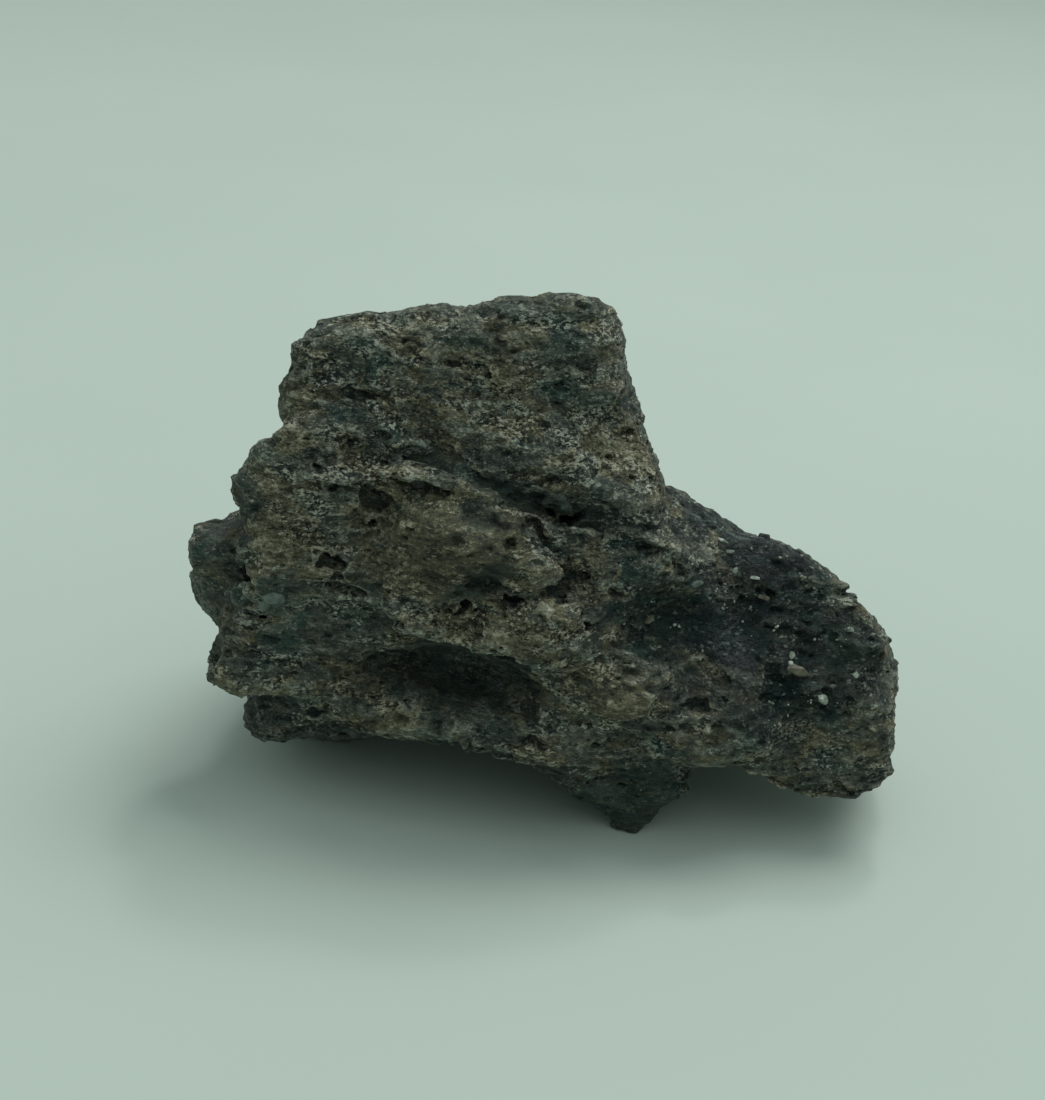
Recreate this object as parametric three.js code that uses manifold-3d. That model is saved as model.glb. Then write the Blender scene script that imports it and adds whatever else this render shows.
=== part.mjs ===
// A broken lump of impact glass: dark, frothy melt rock that chilled in flow bands and then broke.
// It is one solid. Rough masses are blended together, hollows and gas pits are taken out of them, and
// the flow bands weather into ledges. The lump stands on three feet, ground flat where they touch down.
// Millimetres, +Z up. The origin is on the ground under the middle of the lump; -Y is the broken front.
import * as THREE from "three";
import { MarchingCubes } from "three/addons/objects/MarchingCubes.js";
import { ImprovedNoise } from "three/addons/math/ImprovedNoise.js";
import { mergeVertices } from "three/addons/utils/BufferGeometryUtils.js";
import Module from "manifold-3d";

// Driving dimensions of the whole lump.
const LENGTH = 49.5;
const DEPTH = 29;
const HEIGHT = 37;

// How coarse the skin is: the side of a cell, and how the skin is evened out afterwards.
const CELL = 1.3;
const MARGIN_CELLS = 3;
const CLEAR_OF_CORNER = 0.12 * CELL;
const EVENING_PASSES = 6;
const MERGE = 1e-3;

// Fillets where masses run together, where hollows break the skin, and where lumps sit on it.
const MASS_BLEND = 1.6;
const HOLLOW_BLEND = 1.0;
const LUMP_BLEND = 1.6;

// The masses that make up the lump, from the top down. A chunk is bounded by broken faces, each given
// by a point it passes through and the way it faces.
const MASSES = [
  chunk("upper block", 2.0, [
    [[-6.5, -5, 35.0], [-0.16, 0.5, 1]],
    [[-6.6, -7.2, 30.4], [0.04, -1, 0.4]],
    [[4.2, -4, 31], [1, -0.12, 0.42]],
    [[4.8, 0, 27], [0.8, 1, 0.4]],
    [[-17.2, -3, 27.5], [-1, 0.1, 0.06]],
    [[-16.2, -4, 32.6], [-1, 0.3, 1]],
    [[-6, 7, 27], [-0.1, 1, 0.4]],
    [[-6, 0, 17], [0, 0, -1]],
  ]),
  chunk("left flank", 1.6, [
    [[-19.2, -4, 22.4], [-0.75, 0.5, 1]],
    [[-12, -8, 24.6], [0, 0.3, 1]],
    [[-20.5, -4, 20.6], [-1, 0.2, 0]],
    [[-17, -9.2, 21], [-0.35, -1, 0.3]],
    [[-12, 8, 20], [-0.3, 1, 0.3]],
    [[-8, 0, 22], [1, 0, 0]],
    [[-16, 0, 17], [-0.2, 0, -1]],
  ]),
  chunk("middle", 2.4, [
    [[-4, -11, 18], [0, -1, 0.25]],
    [[-19.6, -2, 14], [-1, 0.1, 0.12]],
    [[6.6, -4, 22], [1, 0.2, 0.8]],
    [[-3, 9, 16], [0.1, 1, 0.3]],
    [[-3, -4, 25], [0, 0.5, 1]],
    [[-3, 0, 8], [0, 0, -1]],
  ]),
  chunk("lower left", 1.6, [
    [[-12, -11.2, 9], [-0.1, -1, 0.1]],
    [[-19.1, -3, 8], [-1, -0.1, 0.05]],
    [[-19.4, -3, 3.6], [-1, -0.1, -0.75]],
    [[-12, -8, 4.6], [0.16, -0.55, -1]],
    [[-12, 8, 8], [-0.3, 1, 0]],
    [[3, 0, 8], [1, 0, 0]],
    [[-10, 0, 13], [0, 0, 1]],
    [[-10, 0, 1.5], [0, 0, -1]],
  ]),
  chunk("right lobe", 2.0, [
    [[13.5, -4, 20.3], [0.42, 0.5, 1]],
    [[22.6, -4, 15.5], [1, 0.2, 0.9]],
    [[25.2, -4, 8], [1, -0.1, 0.12]],
    [[18, -9.2, 13], [0.12, -1, 0.6]],
    [[18, -10.6, 7], [0.05, -1, -0.05]],
    [[19, -8, 3.9], [0.1, -0.1, -1]],
    [[15, 5, 12], [0.3, 1, 0.35]],
    [[2, 0, 12], [-1, 0, 0]],
  ]),
  chunk("right centre", 2.0, [
    [[5.6, -13, 12], [0.05, -1, 0.12]],
    [[6, -12, 6.6], [0, -0.5, -1]],
    [[6, -11, 16.5], [0, -0.8, 1]],
    [[-0.4, -12, 11], [-1, -0.6, 0.1]],
    [[12, -10, 11], [1, -0.2, 0.2]],
    [[6, -4, 10], [0, 1, 0.3]],
  ]),
  chunk("back", 2.2, [
    [[2, 14, 9], [0.1, 1, 0.3]],
    [[-12.5, 8, 12], [-1, 0.4, 0.2]],
    [[12, 7, 10], [1, 0.5, 0.6]],
    [[2, 8, 17.5], [0.35, 0.6, 1]],
    [[2, 8, 1.5], [0, 0.1, -1]],
    [[10, 4, 3], [0.8, 0, -1]],
    [[2, 1, 12], [0, -1, 0.3]],
    [[2, 3.5, 2], [0, -1, -0.8]],
  ]),
  chunk("front foot", 0.8, [
    [[4.9, -8, 2.1], [-0.75, -0.1, -0.72]],
    [[11.4, -8, 2.3], [0.8, -0.1, -0.75]],
    [[7.5, -10.6, 3], [0.05, -1, -0.3]],
    [[7.5, -2.5, 3], [0, 1, -0.3]],
    [[7.5, -6, 9], [0, 0, 1]],
  ]),
  ball("left foot", [-14.5, 2, 1.9], [3.8, 4, 2.6]),
  ball("back foot", [4.5, 9.5, 1.9], [4.4, 3.4, 2.6]),
];

// Lumps that stand out of those masses.
const LUMPS = [
  ball("knob", [-20.2, -4.4, 13.6], [3.5, 4.2, 4.8], { lean: [0, -10, 0] }),
  ball("boss", [-5.6, -9.6, 21.2], [5.6, 4.6, 4.2], { lean: [12, 12, 0] }),
  box("shelf", [-3.6, -11, 15.9], [6.4, 4, 1.8], { lean: [-14, 4, 0], edge: 1.2 }),
  box("sill", [-3.8, -9.8, 8.0], [8.2, 4.2, 1.7], { lean: [-6, 6, 0], edge: 1 }),
  ball("cheek", [5.6, -12, 11.4], [3.6, 2.8, 2.4], { lean: [0, 8, 0] }),
  ball("edge knob", [23.1, -4, 11.2], [2.2, 3, 1.5]),
  box("back ledge", [3.5, 9.5, 10.4], [8, 3.4, 1.7], { lean: [10, 6, 12], edge: 1.2 }),
];

// Hollows broken into them.
const HOLLOWS = [
  ball("cavity", [-5.2, -12.6, 11.4], [6.6, 5.2, 1.9], { lean: [0, 3, 0] }),
  ball("arch", [14, -8, 2.4], [3.6, 9, 3.2]),
  ball("gash", [0.4, -10.6, 23.6], [5.0, 3.4, 1.1], { lean: [-14, 17, 0] }),
  ball("gash run", [-8.2, -10.8, 25.8], [4.6, 2.6, 0.8], { lean: [-14, -10, 0] }),
  ball("square hole", [-11.5, -10.4, 22.9], [1.3, 2.2, 1.2]),
  ball("diagonal recess", [-2.4, -14, 18.6], [4.8, 3.4, 1.3], { lean: [0, -38, 0] }),
  ball("glassy dish", [10.2, -13, 16], [4.8, 4.2, 3.2], { lean: [0, 20, 0] }),
  ball("notch", [-22.6, -5, 18.7], [3.4, 5, 0.9]),
  ball("knob seam", [-18, -9.4, 14.4], [1.05, 2.2, 4.4], { lean: [0, -8, 0] }),
  ball("back scoop", [-6.5, 14.5, 17], [6.4, 4.4, 4.6], { lean: [0, 18, 0] }),
];

// Flow bands: how thick they are, which way they lie, and how far the hard ones stand out as ledges.
const BAND = 3.4;
const BAND_UP = new THREE.Vector3(0.12, 0.16, 1).normalize();
const BAND_WAVES = [
  [17, 2.2],
  [6.5, 1.3],
];
const LEDGE = 0.42;
const LEDGE_RUN = 8;

// The roughness of the broken skin, as [wavelength, height] pairs.
const ROUGHNESS = [
  [11, 0.8],
  [5.2, 0.55],
  [2.9, 0.42],
];

// Gas pits, the larger bubbles cut open by the break.
const PITS = 46;
const PIT_HALF = [1.9, 1.6, 1.2];
const PIT_SIZES = [0.8, 1.4];
const PIT_BLEND = 0.8;
const PIT_SEED = 23;

const noise = new ImprovedNoise();

/** A closed form with a place, half-sizes and a lean about X, Y and Z in degrees. */
function form(name, at, half, { lean = [0, 0, 0], edge = 0 } = {}) {
  const turn = new THREE.Euler(...lean.map(THREE.MathUtils.degToRad));
  const toLocal = new THREE.Matrix4().makeRotationFromEuler(turn);
  toLocal.setPosition(...at).invert();
  return { name, half: new THREE.Vector3(...half), edge, toLocal, local: new THREE.Vector3() };
}

/** A block with rounded edges; its distance is negative inside. */
function box(name, at, half, options) {
  const made = form(name, at, half, options);
  made.distance = (p) => {
    const q = made.local.copy(p).applyMatrix4(made.toLocal);
    const x = Math.abs(q.x) - made.half.x + made.edge;
    const y = Math.abs(q.y) - made.half.y + made.edge;
    const z = Math.abs(q.z) - made.half.z + made.edge;
    const outside = Math.hypot(Math.max(x, 0), Math.max(y, 0), Math.max(z, 0));
    return outside + Math.min(Math.max(x, y, z), 0) - made.edge;
  };
  return made;
}

/** An ellipsoid; its distance is close to true near the skin, and negative inside. */
function ball(name, at, half, options) {
  const made = form(name, at, half, options);
  const { x, y, z } = made.half;
  made.distance = (p) => {
    const q = made.local.copy(p).applyMatrix4(made.toLocal);
    const reach = Math.hypot(q.x / x, q.y / y, q.z / z);
    const slope = Math.hypot(q.x / (x * x), q.y / (y * y), q.z / (z * z));
    return slope > 0 ? (reach * (reach - 1)) / slope : -Math.min(x, y, z);
  };
  return made;
}

/** A broken chunk: the space behind every one of its faces, with rounded edges. */
function chunk(name, edge, faces) {
  const sides = faces.map(([through, facing]) => ({
    through: new THREE.Vector3(...through),
    facing: new THREE.Vector3(...facing).normalize(),
  }));
  const from = new THREE.Vector3();
  const distance = (p) =>
    sides.reduce((far, side) => {
      const out = from.subVectors(p, side.through).dot(side.facing);
      return far === -Infinity ? out : -blend(-far, -out, edge);
    }, -Infinity);
  return { name, distance };
}

/** The lower of two distances, with a fillet of the given size where they meet. */
function blend(a, b, size) {
  const near = Math.max(size - Math.abs(a - b), 0) / size;
  return Math.min(a, b) - (near * near * size) / 4;
}

/** How far a point is outside the masses, lumps and hollows, before the skin roughens. */
function bulk(p) {
  let d = MASSES.reduce((sum, mass) => blend(sum, mass.distance(p), MASS_BLEND), Infinity);
  for (const lump of LUMPS) d = blend(d, lump.distance(p), LUMP_BLEND);
  for (const hollow of HOLLOWS) d = -blend(-d, hollow.distance(p), HOLLOW_BLEND);
  return d;
}

/** Smooth noise of a wavelength at a point, from about -1 to 1. */
function wave(p, length) {
  return noise.noise(p.x / length + 31.7, p.y / length + 17.3, p.z / length + 5.9);
}

/** Several such waves added up, each a [wavelength, height] pair. */
function waves(p, pairs) {
  return pairs.reduce((sum, [length, high]) => sum + high * wave(p, length), 0);
}

/** How far the flow bands and the rough break stand out of the bulk at a point. */
function relief(p) {
  const height = p.dot(BAND_UP) + waves(p, BAND_WAVES);
  const along = height / BAND;
  const step = along - Math.floor(along);
  const ledge = step < 0.75 ? step / 0.75 : (1 - step) / 0.25;
  // Each ledge runs out along the skin and starts again further on.
  const strength = LEDGE * Math.max(0, 1 + 2.2 * wave(p, LEDGE_RUN));
  return waves(p, ROUGHNESS) + strength * (ledge - 0.5);
}

/** How far a point is outside the finished skin. */
function skin(p, pits) {
  let d = bulk(p) - relief(p);
  for (const pit of pits) d = -blend(-d, pit.distance(p), PIT_BLEND);
  return d;
}

/** Repeatable random numbers from 0 to 1. */
function randomFrom(seed) {
  let state = seed;
  return () => {
    state = (state * 48271) % 2147483647;
    return state / 2147483647;
  };
}

/** Gas pits wherever a random point falls on the skin. */
function scatterPits() {
  const random = randomFrom(PIT_SEED);
  const pits = [];
  while (pits.length < PITS) {
    const at = [(random() - 0.5) * LENGTH, (random() - 0.5) * DEPTH, random() * HEIGHT];
    if (Math.abs(bulk(new THREE.Vector3(...at))) > 0.4) continue;
    const size = THREE.MathUtils.lerp(...PIT_SIZES, random() ** 2);
    pits.push(ball("pit", at, PIT_HALF.map((half) => half * size), { lean: [0, 20 * random() - 10, 0] }));
  }
  return pits;
}

/** The skin as a closed, indexed geometry of cells of side CELL. */
function meshOf(field) {
  const cells = 2 * Math.ceil(Math.max(LENGTH, DEPTH, HEIGHT) / 2 / CELL + MARGIN_CELLS);
  const cubes = new MarchingCubes(cells, new THREE.Material(), false, false, 60000);
  cubes.isolation = 0;
  const middle = HEIGHT / 2;
  const p = new THREE.Vector3();
  for (let k = 0; k < cells; k++)
    for (let j = 0; j < cells; j++)
      for (let i = 0; i < cells; i++) {
        p.set(i, j, k).subScalar(cells / 2).multiplyScalar(CELL);
        p.z += middle;
        const d = field(p);
        // A skin that just grazes a cell's corner would leave slivers there.
        const kept = Math.abs(d) < CLEAR_OF_CORNER ? Math.sign(d || 1) * CLEAR_OF_CORNER : d;
        cubes.field[i + j * cells + k * cells * cells] = -kept;
      }
  cubes.update();
  const found = cubes.geometry.getAttribute("position").array.slice(0, cubes.count * 3);
  const geometry = new THREE.BufferGeometry();
  geometry.setAttribute("position", new THREE.BufferAttribute(found, 3));
  geometry.scale((cells * CELL) / 2, (cells * CELL) / 2, (cells * CELL) / 2);
  geometry.translate(0, 0, middle);
  return mergeVertices(geometry, MERGE);
}

/** Moves each vertex towards the middle of its neighbours and back onto the skin. */
function evenOut(geometry, field) {
  const position = geometry.getAttribute("position");
  const index = geometry.index.array;
  const neighbours = Array.from({ length: position.count }, () => new Set());
  for (let t = 0; t < index.length; t += 3)
    for (const [a, b] of [[0, 1], [1, 2], [2, 0]]) {
      neighbours[index[t + a]].add(index[t + b]);
      neighbours[index[t + b]].add(index[t + a]);
    }
  const p = new THREE.Vector3();
  const other = new THREE.Vector3();
  for (let pass = 0; pass < EVENING_PASSES; pass++) {
    const moved = position.array.slice();
    for (let v = 0; v < position.count; v++) {
      p.fromBufferAttribute(position, v);
      const mean = new THREE.Vector3();
      for (const n of neighbours[v]) mean.add(other.fromBufferAttribute(position, n));
      p.lerp(mean.divideScalar(neighbours[v].size), 0.5);
      toSkin(p, field).toArray(moved, v * 3);
    }
    position.array.set(moved);
  }
  return geometry;
}

/** Slides a point down the field's slope onto the skin. */
function toSkin(p, field) {
  const reach = 0.05;
  const at = field(p);
  const probe = p.clone();
  const slope = new THREE.Vector3();
  for (const axis of ["x", "y", "z"]) {
    probe.copy(p)[axis] += reach;
    slope[axis] = (field(probe) - at) / reach;
  }
  const step = at / Math.max(slope.lengthSq(), 0.25);
  return p.addScaledVector(slope, -THREE.MathUtils.clamp(step, -CELL / 2, CELL / 2));
}

/** A closed geometry as a manifold-3d solid. */
function solidOf(wasm, geometry) {
  const bare = new THREE.BufferGeometry();
  bare.setAttribute("position", geometry.getAttribute("position"));
  bare.setIndex(geometry.index);
  const merged = mergeVertices(bare, MERGE);
  return new wasm.Manifold(
    new wasm.Mesh({
      numProp: 3,
      vertProperties: new Float32Array(merged.getAttribute("position").array),
      triVerts: new Uint32Array(merged.index.array),
    }),
  );
}

/** A manifold-3d solid as a three.js geometry. */
function geometryOf(solid) {
  const mesh = solid.getMesh();
  const geometry = new THREE.BufferGeometry();
  geometry.setAttribute("position", new THREE.BufferAttribute(mesh.vertProperties, 3));
  geometry.setIndex(new THREE.BufferAttribute(mesh.triVerts, 1));
  geometry.computeVertexNormals();
  return geometry;
}

/** The lump without what would lie below the ground, so that its feet end flat. */
function standing(wasm, solid) {
  const ground = new THREE.BoxGeometry(2 * LENGTH, 2 * LENGTH, HEIGHT);
  ground.translate(0, 0, -HEIGHT / 2);
  return solid.subtract(solidOf(wasm, ground));
}

/** The biggest piece of a solid, without crumbs cut loose from it. */
function wholePiece(solid) {
  return solid.decompose().reduce((big, piece) => (piece.volume() > big.volume() ? piece : big));
}

/** Puts the middle of the lump, seen from above, over the origin. */
function centred(geometry) {
  geometry.computeBoundingBox();
  const middle = geometry.boundingBox.getCenter(new THREE.Vector3());
  return geometry.translate(-middle.x, -middle.y, 0);
}

const wasm = await Module();
wasm.setup();

const pits = scatterPits();
const field = (p) => skin(p, pits);
const rough = evenOut(meshOf(field), field);
const lump = wholePiece(standing(wasm, solidOf(wasm, rough)));

const glass = new THREE.MeshStandardMaterial({ color: 0x2b2c25, roughness: 0.55, metalness: 0 });
const stone = new THREE.Mesh(centred(geometryOf(lump)), glass);
stone.name = "impact_glass";

const specimen = new THREE.Group();
specimen.add(stone);

export default specimen;
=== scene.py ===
"""Studio scene of one lump of vesicular impact glass, standing on a pale floor.

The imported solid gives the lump's size and main forms. The skin is grown from it as a
distance field: named hollows and lumps, beds, froth and gas bubbles are cut into that
field, and its surface becomes one closed mesh. Dust crumbs and pale grains are then
scattered over it, and named shards are set into it. Shape sizes are in millimetres, and
meshes are made in metres.
"""

from __future__ import annotations

import logging
import math
from dataclasses import dataclass
from enum import Enum
from itertools import product

import bmesh
import bpy
import numpy as np
import openvdb
from mathutils import Euler, Matrix, Vector


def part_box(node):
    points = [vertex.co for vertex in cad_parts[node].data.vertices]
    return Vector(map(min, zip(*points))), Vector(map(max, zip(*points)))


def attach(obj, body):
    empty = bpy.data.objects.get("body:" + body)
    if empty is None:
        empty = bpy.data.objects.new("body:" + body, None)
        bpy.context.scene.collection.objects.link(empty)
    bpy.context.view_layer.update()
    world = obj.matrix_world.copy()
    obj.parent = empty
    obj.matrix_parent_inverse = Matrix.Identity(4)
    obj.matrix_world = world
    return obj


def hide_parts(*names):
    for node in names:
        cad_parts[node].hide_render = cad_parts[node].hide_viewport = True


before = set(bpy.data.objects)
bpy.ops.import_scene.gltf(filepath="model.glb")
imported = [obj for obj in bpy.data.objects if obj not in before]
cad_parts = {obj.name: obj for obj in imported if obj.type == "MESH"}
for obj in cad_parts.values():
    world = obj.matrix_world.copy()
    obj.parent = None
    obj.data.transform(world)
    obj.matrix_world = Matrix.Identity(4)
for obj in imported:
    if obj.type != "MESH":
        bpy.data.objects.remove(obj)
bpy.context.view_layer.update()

LOG = logging.getLogger("impact_glass")
NODE = "impact_glass"
BODY = "root"
METRE = 0.001
BED_UP = (0.118, 0.157, 0.981)  # the way across the flow beds

Array = np.ndarray
Triple = tuple[float, float, float]
Colour = tuple[float, float, float]
Span = tuple[float, float]
Socket = bpy.types.NodeSocket


# ----------------------------------------------------------------- meshes and objects


def placed(name: str, data: bpy.types.ID) -> bpy.types.Object:
    """Makes an object and links it into the scene.

    Args:
        name: Its name.
        data: Its mesh, light or camera.

    Returns:
        The object.
    """
    made = bpy.data.objects.new(name, data)
    bpy.context.scene.collection.objects.link(made)
    return made


def vertices(mesh: bpy.types.Mesh) -> Array:
    """Reads a mesh's vertices.

    Args:
        mesh: The mesh.

    Returns:
        Their places, in millimetres.
    """
    places = np.empty(len(mesh.vertices) * 3, dtype=np.float32)
    mesh.vertices.foreach_get("co", places)
    return places.reshape(-1, 3) / METRE


def write(mesh: bpy.types.Mesh, name: str, values: Array) -> None:
    """Stores one number for each vertex of a mesh."""
    layer = mesh.attributes.new(name, "FLOAT", "POINT")
    layer.data.foreach_set("value", values.astype(np.float32))


def bake(rough: bpy.types.Object, name: str) -> bpy.types.Object:
    """Applies an object's modifiers into a new plain object.

    Args:
        rough: The object with live modifiers, which is removed.
        name: The new object's name.

    Returns:
        The plain object.
    """
    graph = bpy.context.evaluated_depsgraph_get()
    mesh = bpy.data.meshes.new_from_object(rough.evaluated_get(graph), depsgraph=graph)
    mesh.name = name
    bpy.data.objects.remove(rough)
    return placed(name, mesh)


# ---------------------------------------------------------------- fields and lattices


def spread_knots(knots: Array, places: Array, spacing: float, axis: int) -> Array:
    """Spreads random knots along one axis with cubic B-splines.

    Args:
        knots: The knots, with at least four more than the places span.
        places: Sample places along the axis, in millimetres.
        spacing: Distance between knots, in millimetres.
        axis: The axis to work along.

    Returns:
        The values at the places.
    """
    where = (places - places[0]) / spacing
    first = np.floor(where).astype(int)
    t = (where - first).astype(np.float32)
    parts = ((1 - t) ** 3, 3 * t**3 - 6 * t**2 + 4, -3 * t**3 + 3 * t**2 + 3 * t + 1, t**3)
    shape = [1, 1, 1]
    shape[axis] = -1
    return sum(
        np.take(knots, first + knot, axis=axis) * (part / 6).reshape(shape)
        for knot, part in enumerate(parts)
    )


def noise(rng: np.random.Generator, axes: tuple[Array, Array, Array], spacing: Triple) -> Array:
    """Makes a smooth random field with a mean of 0 and a spread of 1.

    Args:
        rng: Source of the random knots.
        axes: Sample places along x, y and z.
        spacing: Distance between knots along each axis.

    Returns:
        The field on the box of samples.
    """
    counts = [int((axis[-1] - axis[0]) / step) + 5 for axis, step in zip(axes, spacing)]
    values = rng.standard_normal(counts, dtype=np.float32)
    for axis in (2, 1, 0):
        values = spread_knots(values, axes[axis], spacing[axis], axis)
    return (values - values.mean()) / values.std()


def softened(values: Array, reach: int) -> Array:
    """Softens a field with three running means along each axis.

    Args:
        values: The field.
        reach: Samples taken in on each side.

    Returns:
        The softened field.
    """
    wide = 2 * reach + 1
    for axis in range(3):
        for _ in range(3):
            edges = [(0, 0)] * 3
            edges[axis] = (reach + 1, reach)
            total = np.cumsum(np.pad(values, edges, mode="edge"), axis=axis, dtype=np.float32)
            ends = [slice(None)] * 3
            starts = [slice(None)] * 3
            ends[axis], starts[axis] = slice(wide, None), slice(None, -wide)
            values = (total[tuple(ends)] - total[tuple(starts)]) / wide
    return values


def smooth_step(low: float, high: float, values: Array) -> Array:
    """Rises smoothly from 0 at low to 1 at high."""
    t = np.clip((values - low) / (high - low), 0, 1)
    return t * t * (3 - 2 * t)


def soft_max(first: Array, second: Array, width: float) -> Array:
    """Takes the larger of two fields, rounded over a width where they meet."""
    share = np.clip(0.5 + 0.5 * (first - second) / width, 0, 1)
    return second + (first - second) * share + width * share * (1 - share)


@dataclass(frozen=True)
class Lattice:
    """A box of evenly spaced samples round the lump.

    Args:
        low: Index of the first sample on each axis.
        shape: Number of samples on each axis.
        pitch: Distance between samples, in millimetres.
    """

    low: tuple[int, int, int]
    shape: tuple[int, int, int]
    pitch: float

    @classmethod
    def round_box(cls, low: Array, high: Array, margin: float, pitch: float) -> Lattice:
        """Makes the lattice that holds a box and a margin round it.

        Args:
            low: The box's lowest corner.
            high: The box's highest corner.
            margin: Empty space kept round the box.
            pitch: Distance between samples.

        Returns:
            The lattice.
        """
        start = np.floor((low - margin) / pitch).astype(int)
        stop = np.ceil((high + margin) / pitch).astype(int)
        return cls(tuple(int(v) for v in start), tuple(int(v) for v in stop - start + 1), pitch)

    def axes(self) -> tuple[Array, Array, Array]:
        """Returns the sample places along each axis."""
        return tuple(
            ((low + np.arange(count)) * self.pitch).astype(np.float32)
            for low, count in zip(self.low, self.shape)
        )

    def window(self, centre: Triple, reach: float) -> tuple[tuple[slice, ...], Array]:
        """Finds the samples near a point.

        Args:
            centre: The point.
            reach: Half the size of the window.

        Returns:
            The window's slices, and its sample points.
        """
        slices = []
        for axis, middle in enumerate(centre):
            start = int((middle - reach) / self.pitch) - self.low[axis]
            stop = int((middle + reach) / self.pitch) - self.low[axis] + 2
            slices.append(slice(max(start, 0), max(min(stop, self.shape[axis]), 0)))
        axes = [axis[part] for axis, part in zip(self.axes(), slices)]
        return tuple(slices), np.stack(np.meshgrid(*axes, indexing="ij"), axis=-1)

    def sample(self, values: Array, points: Array) -> Array:
        """Reads a field between its samples.

        Args:
            values: The field on this lattice.
            points: Points, in millimetres.

        Returns:
            One value for each point.
        """
        place = points / self.pitch - np.array(self.low)
        place = np.clip(place, 0, np.array(self.shape) - 1.001)
        base = place.astype(int)
        part = (place - base).astype(np.float32)
        total = np.zeros(len(points), dtype=np.float32)
        for corner in range(8):
            bits = np.array([corner & 1, corner >> 1 & 1, corner >> 2 & 1])
            share = np.where(bits, part, 1 - part).prod(axis=1)
            i, j, k = (base + bits).T
            total += share * values[i, j, k]
        return total


class Mosaic:
    """Ragged flakes that fill space, each with its own random numbers."""

    TRAITS = 6

    def __init__(self, rng: np.random.Generator, low: Array, high: Array, size: Triple) -> None:
        """Scatters the flakes.

        Args:
            rng: Source of the random numbers.
            low: Lowest place that will be asked about.
            high: Highest place that will be asked about.
            size: Mean size of a flake along each axis.
        """
        self.size = np.array(size, np.float32)
        self.start = np.floor(low / self.size).astype(np.int32) - 2
        self.counts = np.ceil(high / self.size).astype(np.int32) + 3 - self.start
        total = int(self.counts.prod())
        self.middles = rng.random((total, 3), dtype=np.float32)
        self.traits = rng.random((total, self.TRAITS), dtype=np.float32)

    def find(self, points: Array) -> tuple[Array, Array]:
        """Finds the flake that holds each point.

        Args:
            points: Places, within the box.

        Returns:
            Each flake's random numbers, and the way from its middle.
        """
        place = points / self.size - self.start
        base = np.floor(place).astype(np.int32)
        part = place - base
        nearest = np.full(len(points), 1e9, np.float32)
        owner = np.zeros(len(points), np.int64)
        middle = np.zeros_like(part)
        for offset in product((-1, 0, 1), repeat=3):
            cell = base + np.array(offset, np.int32)
            index = (cell[:, 0] * self.counts[1] + cell[:, 1]) * self.counts[2] + cell[:, 2]
            way = part - self.middles[index] - np.array(offset, np.float32)
            reach = np.einsum("ij,ij->i", way, way)
            closer = reach < nearest
            nearest = np.where(closer, reach, nearest)
            owner[closer] = index[closer]
            middle[closer] = way[closer]
        return self.traits[owner], middle


@dataclass(frozen=True)
class Blob:
    """One named place on the lump: an ellipsoid, or a boxier body.

    Args:
        name: What is there; not used by the code.
        at: Its centre, in millimetres.
        half: Its half sizes.
        lean: Turns about X, Y and Z, in degrees.
        boxy: 2 for an ellipsoid, more for squarer corners.
        soft: Width over which it blends with what is round it.
    """

    name: str
    at: Triple
    half: Triple
    lean: Triple = (0.0, 0.0, 0.0)
    boxy: float = 2.0
    soft: float = 0.35

    def local(self, points: Array) -> Array:
        """Gives each point's way from the centre, as shares of the half sizes."""
        turn = np.array(Euler([math.radians(v) for v in self.lean]).to_matrix(), dtype=np.float32)
        return np.abs((points - np.array(self.at, np.float32)) @ turn) / np.array(self.half, np.float32)

    def radius(self, points: Array) -> Array:
        """Gives each point's distance from the centre, as a share of the blob's radius."""
        return (self.local(points) ** self.boxy).sum(axis=-1) ** (1 / self.boxy)

    def distance(self, points: Array) -> Array:
        """Measures how far points are from the blob's skin.

        Args:
            points: The points, in millimetres.

        Returns:
            One distance for each point, negative inside.
        """
        local = np.maximum(self.local(points), 1e-3)
        radius = (local**self.boxy).sum(axis=-1) ** (1 / self.boxy)
        slopes = (local ** (self.boxy - 1) / np.array(self.half, np.float32)) ** 2
        return (radius - 1) * radius ** (self.boxy - 1) / np.sqrt(slopes.sum(axis=-1))


# ------------------------------------------------------------------- named places


class Tone(Enum):
    """Finishes that a zone of the lump can show; the dark and grey ones also stand for painted shade in a
    few zones.
    """

    DARK = "dark_glass_and_shade"
    GREY = "grey_glass_and_shade"
    GREEN = "green_glass"
    TAN = "tan_froth"
    AMBER = "amber_glass"


@dataclass(frozen=True)
class Zone:
    """A patch of the lump with its own finish.

    Args:
        blob: Where it is.
        tone: Its finish.
        calm: How much of the relief it lacks, from 0 to 1.
        strength: How fully it shows its finish.
        fade: Width of its edge, as a share of its radius.
    """

    blob: Blob
    tone: Tone
    calm: float
    strength: float = 1.0
    fade: float = 0.12

    def mask(self, points: Array, fray: Array) -> Array:
        """Gives the zone's strength inside it, and 0 outside its frayed edge.

        Args:
            points: The points, in millimetres.
            fray: A random number for each point, which moves the edge there.

        Returns:
            One value for each point.
        """
        radius = self.blob.radius(points) + 1.1 * self.fade * fray
        return smooth_step(1 + self.fade, 1 - self.fade, radius) * self.strength


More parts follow.
